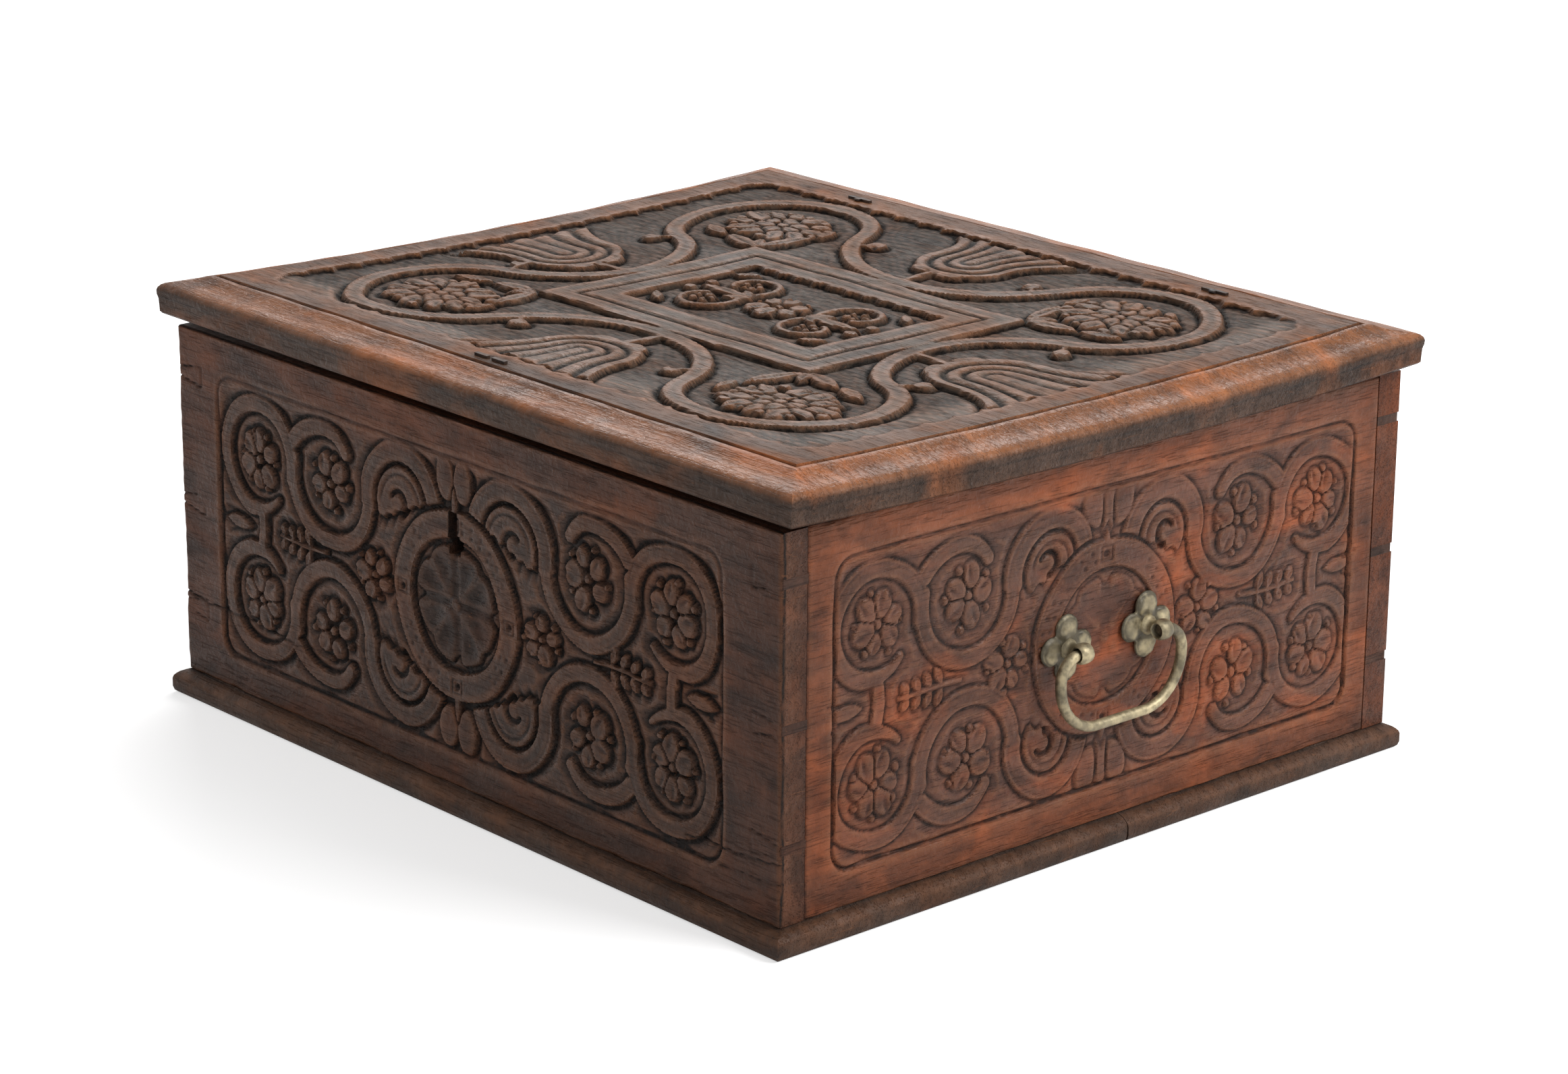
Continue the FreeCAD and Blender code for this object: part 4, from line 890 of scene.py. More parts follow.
def add_piece(name, points, faces, place, body, materials, stands_for, fields, angle=38.0,
              second_from=None):
    """A mesh object from points in millimetres, set in place, shaded smooth but for its sharp edges.

    It rides on a body and stands for frame nodes. Fields are the wear masks at its points, the angle in
    degrees is where an edge is sharp, and faces from second_from on take the second material.
    """
    mesh = bpy.data.meshes.new(name)
    world = place(points) * MM
    mesh.from_pydata(world.tolist(), [], faces)
    mesh.validate()
    for field, values in fields.items():
        attribute = mesh.attributes.new(field, "FLOAT", "POINT")
        attribute.data.foreach_set("value", values.astype(np.float32))
    mesh.polygons.foreach_set("use_smooth", np.ones(len(mesh.polygons), bool))
    mesh.set_sharp_from_angle(angle=math.radians(angle))
    for material in materials:
        mesh.materials.append(material)
    if second_from is not None:
        index = (np.arange(len(mesh.polygons)) >= second_from).astype(np.int32)
        mesh.polygons.foreach_set("material_index", index)
    mesh.update()
    piece = bpy.data.objects.new(name, mesh)
    bpy.context.scene.collection.objects.link(piece)
    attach(piece, body)
    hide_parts(*stands_for)
    return piece


def facing_front(points):
    """Board coordinates to the front board: x runs right, y up and z out of the front."""
    return np.column_stack([points[:, 0], FRONT_LOW[1] - points[:, 2], points[:, 1]])


def facing_right(points):
    """Board coordinates to the right end: x runs back, y up and z out of the end."""
    return np.column_stack([RIGHT_HIGH[0] + points[:, 2], points[:, 0], points[:, 1]])


def facing_left(points):
    """Board coordinates to the left end: the right end turned half round."""
    right = facing_right(points)
    return np.column_stack([-right[:, 0], -right[:, 1], right[:, 2]])


def as_drawn(points):
    """Points that already stand in the frame."""
    return points


def cupped(points):
    """The lid's bend: a level board rolled about an axis above it, so its long edges rise.

    A point at y goes to the angle of y over the half depth times the edge's angle, on a circle whose
    radius is the bend radius less its height over the underside.
    """
    radius = (LID_HALF_Y ** 2 + LID_CUP ** 2) / (2 * LID_CUP)
    edge_angle = math.asin(LID_HALF_Y / radius)
    angle = points[:, 1] / LID_HALF_Y * edge_angle
    own = radius - (points[:, 2] + LID_THICKNESS)
    y = LID_MIDDLE_Y + own * np.sin(angle)
    z = LID_LOW[2] + radius - own * np.cos(angle)
    return np.column_stack([points[:, 0], y, z])


# ---- Materials ----
def add_node(tree, kind, inputs=None, **settings):
    """A node with its settings made and its inputs set, or linked where the value is a socket."""
    made = tree.nodes.new(kind)
    for key, value in settings.items():
        setattr(made, key, value)
    for key, value in (inputs or {}).items():
        if isinstance(value, bpy.types.NodeSocket):
            tree.links.new(value, made.inputs[key])
        else:
            made.inputs[key].default_value = value
    return made


def math_node(tree, operation, first, second=0.0, clamp=False):
    """The result of one sum on two values, held between 0 and 1 where it is clamped."""
    made = add_node(tree, "ShaderNodeMath", {0: first, 1: second}, operation=operation, use_clamp=clamp)
    return made.outputs[0]


def product(tree, first, second, clamp=False):
    """Two values multiplied."""
    return math_node(tree, "MULTIPLY", first, second, clamp)


def stepped(tree, value, low, high, to_low=0.0, to_high=1.0):
    """A value taken evenly from one range to another and held at its ends."""
    made = add_node(tree, "ShaderNodeMapRange", {
        "Value": value, "From Min": low, "From Max": high, "To Min": to_low, "To Max": to_high})
    return made.outputs["Result"]


def mixed(tree, share, first, second):
    """The colour between two colours, by the second one's share."""
    given = {0: share, 6: first, 7: second}
    made = add_node(tree, "ShaderNodeMix", given, data_type="RGBA", clamp_factor=True)
    return made.outputs[2]


def scaled(tree, colour, factor):
    """A colour made lighter or darker by a value."""
    made = add_node(tree, "ShaderNodeVectorMath", {0: colour, "Scale": factor}, operation="SCALE")
    return made.outputs[0]


def shaded(tree, colour, value, at_none, at_full):
    """A colour multiplied by one number where a value is 0 and by another where it is 1."""
    return scaled(tree, colour, stepped(tree, value, 0.0, 1.0, at_none, at_full))


def four(colour, factor=1.0):
    """A colour with full alpha, made lighter or darker."""
    return tuple(min(1.0, part * factor) for part in colour) + (1.0,)


def scaled_noise(tree, vector, scale, detail=3.0, distortion=0.0):
    """Noise on a vector stretched by its own scale along each axis."""
    stretched = add_node(tree, "ShaderNodeVectorMath", {0: vector, 1: scale}, operation="MULTIPLY")
    noise = add_node(tree, "ShaderNodeTexNoise", {
        "Vector": stretched.outputs[0], "Scale": 1.0, "Detail": detail, "Distortion": distortion})
    return noise.outputs["Fac"]


def new_group(name, inputs):
    """An empty shader node group of a vector and some values, and its inputs' sockets."""
    tree = bpy.data.node_groups.new(name, "ShaderNodeTree")
    for socket in inputs:
        kind = "NodeSocketVector" if socket == "Vector" else "NodeSocketFloat"
        tree.interface.new_socket(name=socket, in_out="INPUT", socket_type=kind)
    return tree, tree.nodes.new("NodeGroupInput").outputs


def give_out(tree, results):
    """Ends a node group with its results, each a value under its name."""
    for name in results:
        tree.interface.new_socket(name=name, in_out="OUTPUT", socket_type="NodeSocketFloat")
    end = tree.nodes.new("NodeGroupOutput")
    for name, value in results.items():
        tree.links.new(value, end.inputs[name])


def grain_group():
    """Oak: growth rings, streaks and open pores that run along the vector's X, in metres."""
    name = "Oak grain"
    if name in bpy.data.node_groups:
        return bpy.data.node_groups[name]
    tree, given = new_group(name, ("Vector",))
    vector = given["Vector"]
    ring = scaled_noise(tree, vector, (3.0, 38.0, 38.0), 4.0, 0.9)
    streak = scaled_noise(tree, vector, (22.0, 420.0, 420.0), 5.0, 0.4)
    fine = scaled_noise(tree, vector, (90.0, 1250.0, 1250.0), 2.0)
    pore = product(tree, stepped(tree, fine, 0.54, 0.66), stepped(tree, streak, 0.36, 0.56))
    height = math_node(tree, "SUBTRACT", product(tree, streak, 0.7), product(tree, pore, 0.5))
    give_out(tree, {
        "Ring": stepped(tree, ring, 0.34, 0.66),
        "Streak": stepped(tree, streak, 0.42, 0.68),
        "Pore": pore,
        "Height": height,
    })
    return tree


# Patches of age on a board: the noise's scale along the grain, across it and upwards, its detail and its
# distortion.
CLOUDS = ((16.0, 30.0, 30.0), 5.0, 0.6)
STAINS = ((11.0, 24.0, 24.0), 6.0, 1.2)
FILMS = ((7.3, 17.0, 21.0), 6.0, 1.0)
PATCHES = ((36.0, 62.0, 62.0), 6.0, 0.8)
SPECKS = ((170.0, 170.0, 170.0), 4.0, 0.0)
CUTS = ((300.0, 300.0, 300.0), 4.0, 0.5)
SCRATCHES = ((500.0, 70.0, 500.0), 2.0, 1.5)


def wear_group():
    """Age: dirt in recesses, rubbed wood and painted highlight on crests, stains, cloudy wax, cut marks and
    scratches.
    """
    name = "Age and wax"
    if name in bpy.data.node_groups:
        return bpy.data.node_groups[name]
    tree, given = new_group(name, ("Vector", "Recess", "Crest"))
    clouds, stains, films, patches, specks, cuts, scratches = (
        scaled_noise(tree, given["Vector"], *noise)
        for noise in (CLOUDS, STAINS, FILMS, PATCHES, SPECKS, CUTS, SCRATCHES))
    give_out(tree, {
        "Dirt": product(tree, given["Recess"], stepped(tree, specks, 0.28, 0.60, 0.45, 1.25), True),
        # The rubbing on the crests is worn wood and, in the oak, a painted highlight as well.
        "Rubbed_and_highlight": product(tree, given["Crest"], stepped(tree, specks, 0.32, 0.68, 0.30, 1.0), True),
        "Cloud": stepped(tree, clouds, 0.33, 0.67),
        "Stain": stepped(tree, stains, 0.53, 0.72),
        "Bare": stepped(tree, clouds, 0.50, 0.72),
        "Film": stepped(tree, films, 0.50, 0.70),
        "Mottle": stepped(tree, patches, 0.32, 0.68),
        "Cut": cuts,
        "Scratch": stepped(tree, scratches, 0.66, 0.74),
    })
    return tree


def mask(tree, name):
    """A mask that the mesh carries at its points: recess, crest or field."""
    return add_node(tree, "ShaderNodeAttribute", attribute_name=name).outputs["Fac"]


def aged(tree, vector):
    """The results of the age group at a place."""
    given = {"Vector": vector, "Recess": mask(tree, "recess"), "Crest": mask(tree, "crest")}
    return add_node(tree, "ShaderNodeGroup", given, node_tree=wear_group()).outputs


def new_material(name):
    """A new material, its tree, its shader and the place on the object, in metres."""
    material = bpy.data.materials.new(name)
    material.use_nodes = True
    tree = material.node_tree
    place = add_node(tree, "ShaderNodeTexCoord").outputs["Object"]
    return material, tree, tree.nodes["Principled BSDF"], place


def oak(name, colour, field_colour=None, turn=0.0, rubbed_and_highlight=0.5, dirt=0.95, gloss=0.40, shine=0.2,
        blotch=(0.5, 0.25), film=0.3, polish=0.04, end_colour=None, end_at=1.0):
    """Waxed oak whose grain runs along X turned about Z.

    The field colour shows inside the carved field, the end colour past end_at along the grain. The rubbed,
    dirt and film numbers are shares of the worn wood with its painted highlight, of the dirt and of the film
    over it. Blotch is the share of ruddy patches outside and inside the field. Gloss is the wax's middle
    roughness, shine its specular level, and polish what rubbing adds to that.
    """
    if name in bpy.data.materials:
        return bpy.data.materials[name]
    wood = bpy.context.scene.coffer_wood
    material, tree, shader, place = new_material(name)
    along = add_node(tree, "ShaderNodeMapping", {"Vector": place, "Rotation": (0.0, 0.0, -turn)}).outputs[0]
    grain = add_node(tree, "ShaderNodeGroup", {"Vector": along}, node_tree=grain_group()).outputs
    age = aged(tree, along)
    field = mask(tree, "field")

    tone = mixed(tree, field, four(colour), four(field_colour or colour))
    if end_colour is not None:
        parts = add_node(tree, "ShaderNodeSeparateXYZ", {0: along})
        far = math_node(tree, "GREATER_THAN", math_node(tree, "ABSOLUTE", parts.outputs["X"]), end_at)
        tone = mixed(tree, far, tone, four(end_colour))
    ruddy = four((colour[0] * 1.75, colour[1] * 1.45, colour[2] * 1.2))
    bare = product(tree, age["Bare"], stepped(tree, field, 0.0, 1.0, *blotch))
    tone = mixed(tree, bare, scaled(tree, tone, 0.92), ruddy)
    tone = shaded(tree, tone, grain["Ring"], 0.82, 1.14)
    tone = shaded(tree, tone, age["Mottle"], 0.62, 1.36)
    tone = mixed(tree, product(tree, age["Film"], film), tone, four(wood.film))
    tone = shaded(tree, tone, age["Stain"], 1.0, 0.38)
    tone = shaded(tree, tone, grain["Streak"], 1.04, 0.84)
    # Pores and dirt darken the tone; the worn tint lightens scratches, and rubbed crests as worn wood and
    # painted highlight.
    for value, share, over in (
            (grain["Pore"], 0.28, wood.dirt), (age["Rubbed_and_highlight"], rubbed_and_highlight, wood.worn_and_highlight),
            (age["Dirt"], dirt, wood.dirt), (age["Scratch"], 0.2, wood.worn_and_highlight)):
        tone = mixed(tree, product(tree, value, share), tone, four(over))
    tree.links.new(tone, shader.inputs["Base Color"])

    rough = stepped(tree, age["Cloud"], 0.0, 1.0, gloss - 0.08, gloss + 0.12)
    rough = math_node(tree, "ADD", rough, product(tree, age["Dirt"], 0.25))
    rough = math_node(tree, "SUBTRACT", rough, product(tree, age["Rubbed_and_highlight"], 0.05))
    rough = math_node(tree, "ADD", rough, product(tree, grain["Pore"], 0.15), True)
    tree.links.new(rough, shader.inputs["Roughness"])
    # The level is a product with shine, which an exported model keeps as its plain level.
    level = product(tree, shine, stepped(tree, age["Rubbed_and_highlight"], 0.1, 0.9, 1.0, 1.0 + polish / shine))
    tree.links.new(level, shader.inputs["Specular IOR Level"])
    height = math_node(tree, "ADD", grain["Height"], product(tree, age["Cut"], 0.9))
    bump = add_node(tree, "ShaderNodeBump", {"Strength": 1.0, "Distance": 0.0007, "Height": height})
    tree.links.new(bump.outputs[0], shader.inputs["Normal"])
    return material


def metal(name, clean, dulled, amount, metallic, gloss, grit=0.0006):
    """Aged metal: a clean colour with dull patches, worn bright on its crests.

    Amount is the share of the dull patches, gloss the roughness, and grit the depth of its pits in metres.
    """
    if name in bpy.data.materials:
        return bpy.data.materials[name]
    material, tree, shader, place = new_material(name)
    age = aged(tree, place)
    spots = scaled_noise(tree, place, (260.0, 260.0, 260.0), 5.0)
    broad = scaled_noise(tree, place, (70.0, 70.0, 70.0), 3.0)
    dull = product(tree, stepped(tree, broad, 0.35, 0.65), amount)
    dull = math_node(tree, "ADD", dull, age["Dirt"], True)
    tone = mixed(tree, dull, four(clean), four(dulled))
    tone = scaled(tree, tone, stepped(tree, spots, 0.36, 0.60, 0.55, 1.20))
    tone = mixed(tree, product(tree, age["Rubbed_and_highlight"], 0.5), tone, four(clean, 1.4))
    tree.links.new(tone, shader.inputs["Base Color"])
    tree.links.new(stepped(tree, dull, 0.0, 1.0, metallic, metallic * 0.7), shader.inputs["Metallic"])
    tree.links.new(stepped(tree, spots, 0.3, 0.7, gloss - 0.06, gloss + 0.16), shader.inputs["Roughness"])
    bump = add_node(tree, "ShaderNodeBump", {"Strength": 0.7, "Distance": grit, "Height": spots})
    tree.links.new(bump.outputs[0], shader.inputs["Normal"])
    return material


def oak_front():
    """The front, darker than the ends in part as painted shade, darker and duller in its field, and plain on
    the pins' end grain.
    """
    wood = bpy.context.scene.coffer_wood
    return oak("front_oak", wood.front, wood.front_field, rubbed_and_highlight=0.28, gloss=0.38, shine=0.15,
               blotch=(0.8, 0.4), film=0.10, end_colour=wood.front, end_at=(FRONT_HIGH[0] - 0.5) * MM)


def oak_back():
    """The plain back, darker than the ends."""
    ends = bpy.context.scene.coffer_wood.ends
    return oak("back_oak", tuple(0.6 * part for part in ends), gloss=0.5, blotch=(0.4, 0.4))


def oak_ends():
    """The two ends, the reddest and most polished boards, lighter than the front in part as painted light,
    with their grain front to back.
    """
    wood = bpy.context.scene.coffer_wood
    return oak("end_oak", wood.ends, wood.end_field, turn=math.pi / 2, rubbed_and_highlight=0.30, dirt=0.85,
               gloss=0.44, shine=0.22, blotch=(0.6, 0.75), film=0.2)


def oak_pins():
    """The pins' end grain in the front and the back."""
    front = bpy.context.scene.coffer_wood.front
    return oak("pin_oak", front, turn=math.pi / 2, rubbed_and_highlight=0.1, dirt=0.8, gloss=0.46)


def oak_lid():
    """The lid's carved top, dull in its field and grey there in part as a painted reflection."""
    wood = bpy.context.scene.coffer_wood
    return oak("lid_oak", wood.lid, wood.lid_field, rubbed_and_highlight=0.55, gloss=0.40, shine=0.06,
               blotch=(0.8, 0.35), film=0.15)


def oak_lid_edge():
    """The lid's moulding, bright where hands lift it and with a painted highlight, and dark on its upright
    edge with painted shade.
    """
    wood = bpy.context.scene.coffer_wood
    return oak("lid_edge_oak", wood.lid_edge, wood.lid_side, rubbed_and_highlight=0.5, gloss=0.32, shine=0.11,
               polish=0.15, blotch=(0.8, 0.3), film=0.06)


def oak_base():
    """The two bottom boards."""
    base = bpy.context.scene.coffer_wood.base
    return oak("base_oak", base, rubbed_and_highlight=0.4, gloss=0.5, shine=0.18, film=0.3)


def brass():
    """The handles' dull cast brass."""
    tints = bpy.context.scene.coffer_metal
    return metal("old_brass", tints.brass, tints.tarnish, 0.8, 0.55, 0.42)


def iron():
    """The forged iron of the hinges, the lock and the nails."""
    tints = bpy.context.scene.coffer_metal
    return metal("forged_iron", tints.iron, tints.rust, 0.7, 0.7, 0.55)


def dress(nodes, material):
    """Gives carried-over frame nodes their material in every slot."""
    for node in nodes:
        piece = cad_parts[node]
        if not piece.material_slots:
            piece.data.materials.append(material)
        for slot in piece.material_slots:
            slot.material = material


# ---- Boards ----
END_THICKNESS = RIGHT_HIGH[0] - RIGHT_LOW[0]
FRONT_THICKNESS = FRONT_HIGH[1] - FRONT_LOW[1]

# Steps of the grids, from the finest to the widest: where an edge is rounded, round the keyhole, on the
# ends' carving, on the front's carving and past its ends, on the lid's carving, beside the ends' carving
# and on the other plain borders.
EDGE_STEP = 0.5
KEYHOLE_STEP = 0.55
END_ALONG_STEP, END_UP_STEP = 0.94, 0.98
FRONT_STEP = 1.02
FRONT_END_STEP = 1.15
LID_STEP = 1.34
END_BORDER_STEP = 1.4
PLAIN_STEP = 1.6
# How wide a rounded edge's own grid is at the front's ends, and at a board's foot and top.
END_RUN, FOOT_RUN = 3, 2
# Where the fine grids end.
FIELD_FOOT, FIELD_TOP = 30.0, 196.0
FRONT_FIELD_LEFT, FRONT_FIELD_RIGHT = -216.0, 210.0
KEYHOLE_LEFT, KEYHOLE_RIGHT = -12.0, 5.0
END_FIELD_HALF = 190.0
LID_FINE_HALF = (218.0, 184.0)

PIN_HEIGHTS = (53.5, 115.0, 188.5)
PIN_INNER = FRONT_HIGH[0] - END_THICKNESS
PIN_ROOT = 6.0
PIN_TIP = 2.5
PIN_PROUD = 0.05
# The pin's loops through the front: how far out, the inset there and the dirt on it.
PIN_LOOPS = ((-FRONT_THICKNESS, 0.0, 0.4), (-1.2, 0.0, 0.5), (-0.8, 0.35, 0.1))

KEYHOLE_X = -4.0
KEYHOLE_FOOT, KEYHOLE_TOP = 142.0, 164.0
KEYHOLE_HALF_WIDTH = 3.3
KEYHOLE_WIDE = 4.8

# Cracks near the front's foot: start, end, width and depth.
FRONT_CRACKS = (
    ((-249.0, 60.0), (-150.0, 55.0), 0.6, 1.1), ((-150.0, 55.0), (-92.0, 57.5), 0.5, 0.7),
    ((180.0, 42.0), (249.0, 46.0), 0.6, 1.0), ((205.0, 34.0), (249.0, 36.0), 0.5, 0.7))

# Edge loops of the front and of an end: inset, height, recess and crest.
FRONT_PROFILE = (
    (0.0, -3.4, 0.0, 0.6), (0.0, 0.8 - FRONT_THICKNESS, 0.1, 0.0), (0.7, -FRONT_THICKNESS, 0.3, 0.0))
END_PROFILE = (
    (0.0, -2.6, 0.5, 0.0), (0.0, 0.6 - END_THICKNESS, 0.2, 0.0), (0.6, -END_THICKNESS, 0.3, 0.0))


def pin_grooves(x, z):
    """Thin dark lines on the front round the pins' end grain, broken here and there."""
    along = (np.abs(x) - PIN_INNER) / END_THICKNESS
    total = np.zeros(x.shape)
    for height in PIN_HEIGHTS:
        beside = np.abs(z - height) - (PIN_ROOT + (PIN_TIP - PIN_ROOT) * along)
        total = np.maximum(total, bell(beside, 0.5) * (along > 0.0))
        total = np.maximum(total, bell(np.abs(x) - PIN_INNER, 0.5) * (beside < 0.0))
    return total * rise(waver(x, z, 21.0, 9.0), -0.9, 0.3)


def keyhole(x, z):
    """Distance outside the keyhole: an upright slot with a wider box at its foot."""
    x = x - KEYHOLE_X
    half_height = (KEYHOLE_TOP - KEYHOLE_FOOT) / 2
    up = z - KEYHOLE_FOOT
    slot = np.maximum(np.abs(x) - KEYHOLE_HALF_WIDTH, np.abs(up - half_height) - half_height)
    wide = np.maximum(np.abs(x - 0.8) - KEYHOLE_WIDE + 0.2, np.abs(up - KEYHOLE_WIDE) - KEYHOLE_WIDE)
    return np.minimum(slot, wide)


def field_mask(x, y, half_length):
    """1 inside a carved field, 0 outside it."""
    field = rounded_rectangle(x, y, half_length, PANEL_HALF_HEIGHT - 0.5, PANEL_CORNER)
    return rise(-field, -3.0, 9.0)


def make_front():
    """The carved front board: the panel's relief, pin lines, cracks and the keyhole on one grid."""
    carving, wood = bpy.context.scene.coffer_carving, bpy.context.scene.coffer_wood
    low, high = FRONT_LOW, FRONT_HIGH
    left, right, foot, top = low[0] + END_RUN, high[0] - END_RUN, low[2] + FOOT_RUN, high[2] - FOOT_RUN
    xs = lines((low[0], left, EDGE_STEP), (left, FRONT_FIELD_LEFT, FRONT_END_STEP),
               (FRONT_FIELD_LEFT, KEYHOLE_LEFT, FRONT_STEP), (KEYHOLE_LEFT, KEYHOLE_RIGHT, KEYHOLE_STEP),
               (KEYHOLE_RIGHT, FRONT_FIELD_RIGHT, FRONT_STEP), (FRONT_FIELD_RIGHT, right, FRONT_END_STEP),
               (right, high[0], EDGE_STEP))
    zs = lines((low[2], foot, EDGE_STEP), (foot, FIELD_FOOT, PLAIN_STEP),
               (FIELD_FOOT, FIELD_TOP, FRONT_STEP), (FIELD_TOP, top, PLAIN_STEP),
               (top, high[2], EDGE_STEP))
    x, z = np.meshgrid(xs, zs)
    panel_x, panel_y = x - FRONT_PANEL_MIDDLE_X, z - PANEL_MIDDLE_Z
    height = panel_height(panel_x, panel_y, FRONT_PANEL, carving)
    height = height - worn_edge(x, z, (low[0], high[0], low[2], high[2]), wood.edge_wear, 2.0)
    recess, crest = wear_masks(height)

    cracks = pin_grooves(x, z)
    for start, end, width, depth in FRONT_CRACKS:
        cracks = np.maximum(cracks, stroke(x, z + 0.8 * waver(x, z, 16.0, 2.0), start, end, width, depth))
    hole = keyhole(x, z)
    height = np.where(hole < 0.0, -0.8 * FRONT_THICKNESS, height - cracks)

    recess = np.maximum(recess, np.clip(cracks, 0.0, 1.0))
    recess = np.maximum(recess, 0.42 * rise(ROUNDEL_INNER - np.hypot(panel_x, panel_y), 1.0, 4.0))
    from_end, from_foot = high[0] - np.abs(x), z - low[2]
    recess = np.clip(recess + 0.30 * bell(from_foot, 16.0) + 0.14 * bell(from_end, 14.0), 0.0, 1.0)
    recess = np.maximum(recess, rise(-hole, -1.5, 0.3))
    crest = np.maximum(crest, 0.9 * bell(np.minimum(from_end, from_foot), 2.0))
    field = field_mask(panel_x, panel_y, FRONT_PANEL["half_length"] - 0.5)
    masks = {"recess": recess, "crest": crest, "field": field}
    points, faces, fields = carved_slab(xs, zs, height, FRONT_PROFILE, masks)
    add_piece("front_carved", points, faces, facing_front, "carcass", (oak_front(),),
              ("front_board",), fields)
    dress(("back_board",), oak_back())


def facing_back(points):
    """Front board coordinates turned half round, to the back."""
    front = facing_front(points)
    return np.column_stack([-front[:, 0], -front[:, 1], front[:, 2]])


def pin(side, height):
    """One pin, drawn in the front board: a tapered block from its back to just under its face.

    Its outer edges are broken. Pins at the left are mirrored, and their outline turned round again.
    """
    loops = []
    for z, inset, _ in PIN_LOOPS:
        tip, root = PIN_TIP - inset, PIN_ROOT - inset
        outer = FRONT_HIGH[0] + PIN_PROUD - inset
        loop = np.array([(PIN_INNER, -root), (outer, -tip), (outer, tip), (PIN_INNER, root)])
        if side < 0:
            loop = loop[::-1] * (-1.0, 1.0)
        loops.append(np.column_stack([loop[:, 0], loop[:, 1] + height, np.full(4, z)]))
    return np.concatenate(loops), tube_grid(3, 4)


def make_ends():
    """Both carved ends, which are alike, each with its pins through the front and the back."""
    carving = bpy.context.scene.coffer_carving
    reach = -FRONT_HIGH[1]
    low, high = RIGHT_LOW, RIGHT_HIGH
    foot = low[2] + FOOT_RUN
    ys = lines((-reach, -END_FIELD_HALF, END_BORDER_STEP), (-END_FIELD_HALF, END_FIELD_HALF, END_ALONG_STEP),
               (END_FIELD_HALF, reach, END_BORDER_STEP))
    zs = lines((low[2], foot, EDGE_STEP), (foot, FIELD_FOOT, PLAIN_STEP),
               (FIELD_FOOT, FIELD_TOP, END_UP_STEP), (FIELD_TOP, high[2], PLAIN_STEP))
    y, z = np.meshgrid(ys, zs)
    height = panel_height(y, z - PANEL_MIDDLE_Z, END_PANEL, carving)
    height = height - worn_edge(y, z, (-reach - 9, reach + 9, low[2], high[2]), 1.0, 6.0)
    from_side = reach - np.abs(y)
    height = height - 0.5 * bell(from_side, 0.5)
    recess, crest = wear_masks(height, 0.25)
    recess = np.clip(recess + 0.35 * bell(z - low[2], 14.0) + 0.30 * bell(from_side, 20.0), 0.0, 1.0)
    field = field_mask(y, z - PANEL_MIDDLE_Z, END_PANEL["half_length"])
    points, faces, fields = carved_slab(
        ys, zs, height, END_PROFILE, {"recess": recess, "crest": crest, "field": field})
    for name, place, side in (("right", facing_right, 1), ("left", facing_left, -1)):
        shells = [(place(points), faces)]
        for turned, own_side in ((facing_front, side), (facing_back, -side)):
            for level in PIN_HEIGHTS:
                pin_points, pin_faces = pin(own_side, level)
                shells.append((turned(pin_points), pin_faces))
        all_points, all_faces = joined(shells)
        pins = len(shells) - 1
        own = {}
        for key, values in fields.items():
            of_pin = [loop[2] if key == "recess" else 0.0 for loop in PIN_LOOPS]
            own[key] = np.concatenate([values, np.tile(np.repeat(of_pin, 4), pins)])
        add_piece(name + "_end_carved", all_points, all_faces, as_drawn, "carcass",
                  (oak_ends(), oak_pins()), (name + "_board",), own, second_from=len(faces))


# The bottom boards' cove, from the top down: inset, height, recess and crest.
BASE_COVE = ((8.0, 0.0, 0.9, 0.0), (7.5, -0.4, 0.6, 0.1), (5.4, -1.0, 0.1, 0.35), (3.2, -2.0, 0.0, 0.45),
             (1.6, -3.3, 0.0, 0.55), (0.5, -4.6, 0.0, 0.65), (0.0, -6.2, 0.0, 0.25), (0.0, -10.8, 0.1, 0.1),
             (0.7, -13.0, 0.35, 0.2), (1.8, -14.0, 0.8, 0.0))
BASE_STEP = 4.0


def make_base():
    """The two bottom boards with their worn cove, and the seam between them, which opens downwards."""
    for name, node in (("base_front_plank", "bottom_board_front"), ("base_rear_plank", "bottom_board_rear")):
        low, high = node_box(node)
        front = node.endswith("front")
        start = BASE_COVE[0][0]
        xs = lines((low[0] + start, high[0] - start, BASE_STEP))
        ys = lines((low[1] + start * front, high[1] - start * (not front), BASE_STEP))
        profile = []
        for inset, z, recess, crest in BASE_COVE:
            moved = inset - start
            seam = 0.5 * rise(-z, 3.0, 9.0)
            sides = (moved, moved, moved, seam) if front else (moved, moved, seam, moved)
            profile.append((sides, z, recess, crest))
        points, faces, fields = carved_slab(xs, ys, np.zeros((len(ys), len(xs))), profile[1:], wobble=0.25)
        points[:, 2] = np.clip(points[:, 2] + high[2], 0.0, None)
        add_piece(name, points, faces, as_drawn, "carcass", (oak_base(),), (node,), fields)


# The lid's moulding, from its carved top out and down: inset, height, recess and crest.
# The crest stands for rubbing and for a painted highlight along the slope and the arris.
LID_PROFILE = (
    (24.0, -1.9, 1.0, 0.0), (23.4, -1.3, 0.6, 0.1), (22.6, -0.6, 0.1, 0.7), (21.0, -0.7, 0.0, 0.5),
    (19.4, -1.2, 0.0, 0.2), (17.0, -2.3, 0.0, 0.2), (14.5, -3.3, 0.0, 0.2), (12.0, -4.0, 0.1, 0.2),
    (9.0, -4.6, 0.0, 0.3), (6.0, -5.1, 0.0, 0.5), (3.6, -5.7, 0.0, 0.8), (1.8, -6.7, 0.0, 0.95),
    (0.5, -8.2, 0.0, 0.7), (0.0, -9.8, 0.0, 0.2), (0.2, -12.2, 0.1, 0.1), (0.6, -13.4, 0.35, 0.0),
    (0.9, -14.6, 0.1, 0.1), (1.2, -18.5, 0.1, 0.1), (1.4, -21.8, 0.1, 0.3), (2.6, -23.0, 0.4, 0.0))
LID_FACE_INSET = 25.2
# The mark of the lock's staple near the lid's front edge, about the lid's middle.
STAPLE_MARK = (-3.0, -195.0)
STAPLE_MARK_RADIUS = 11.0


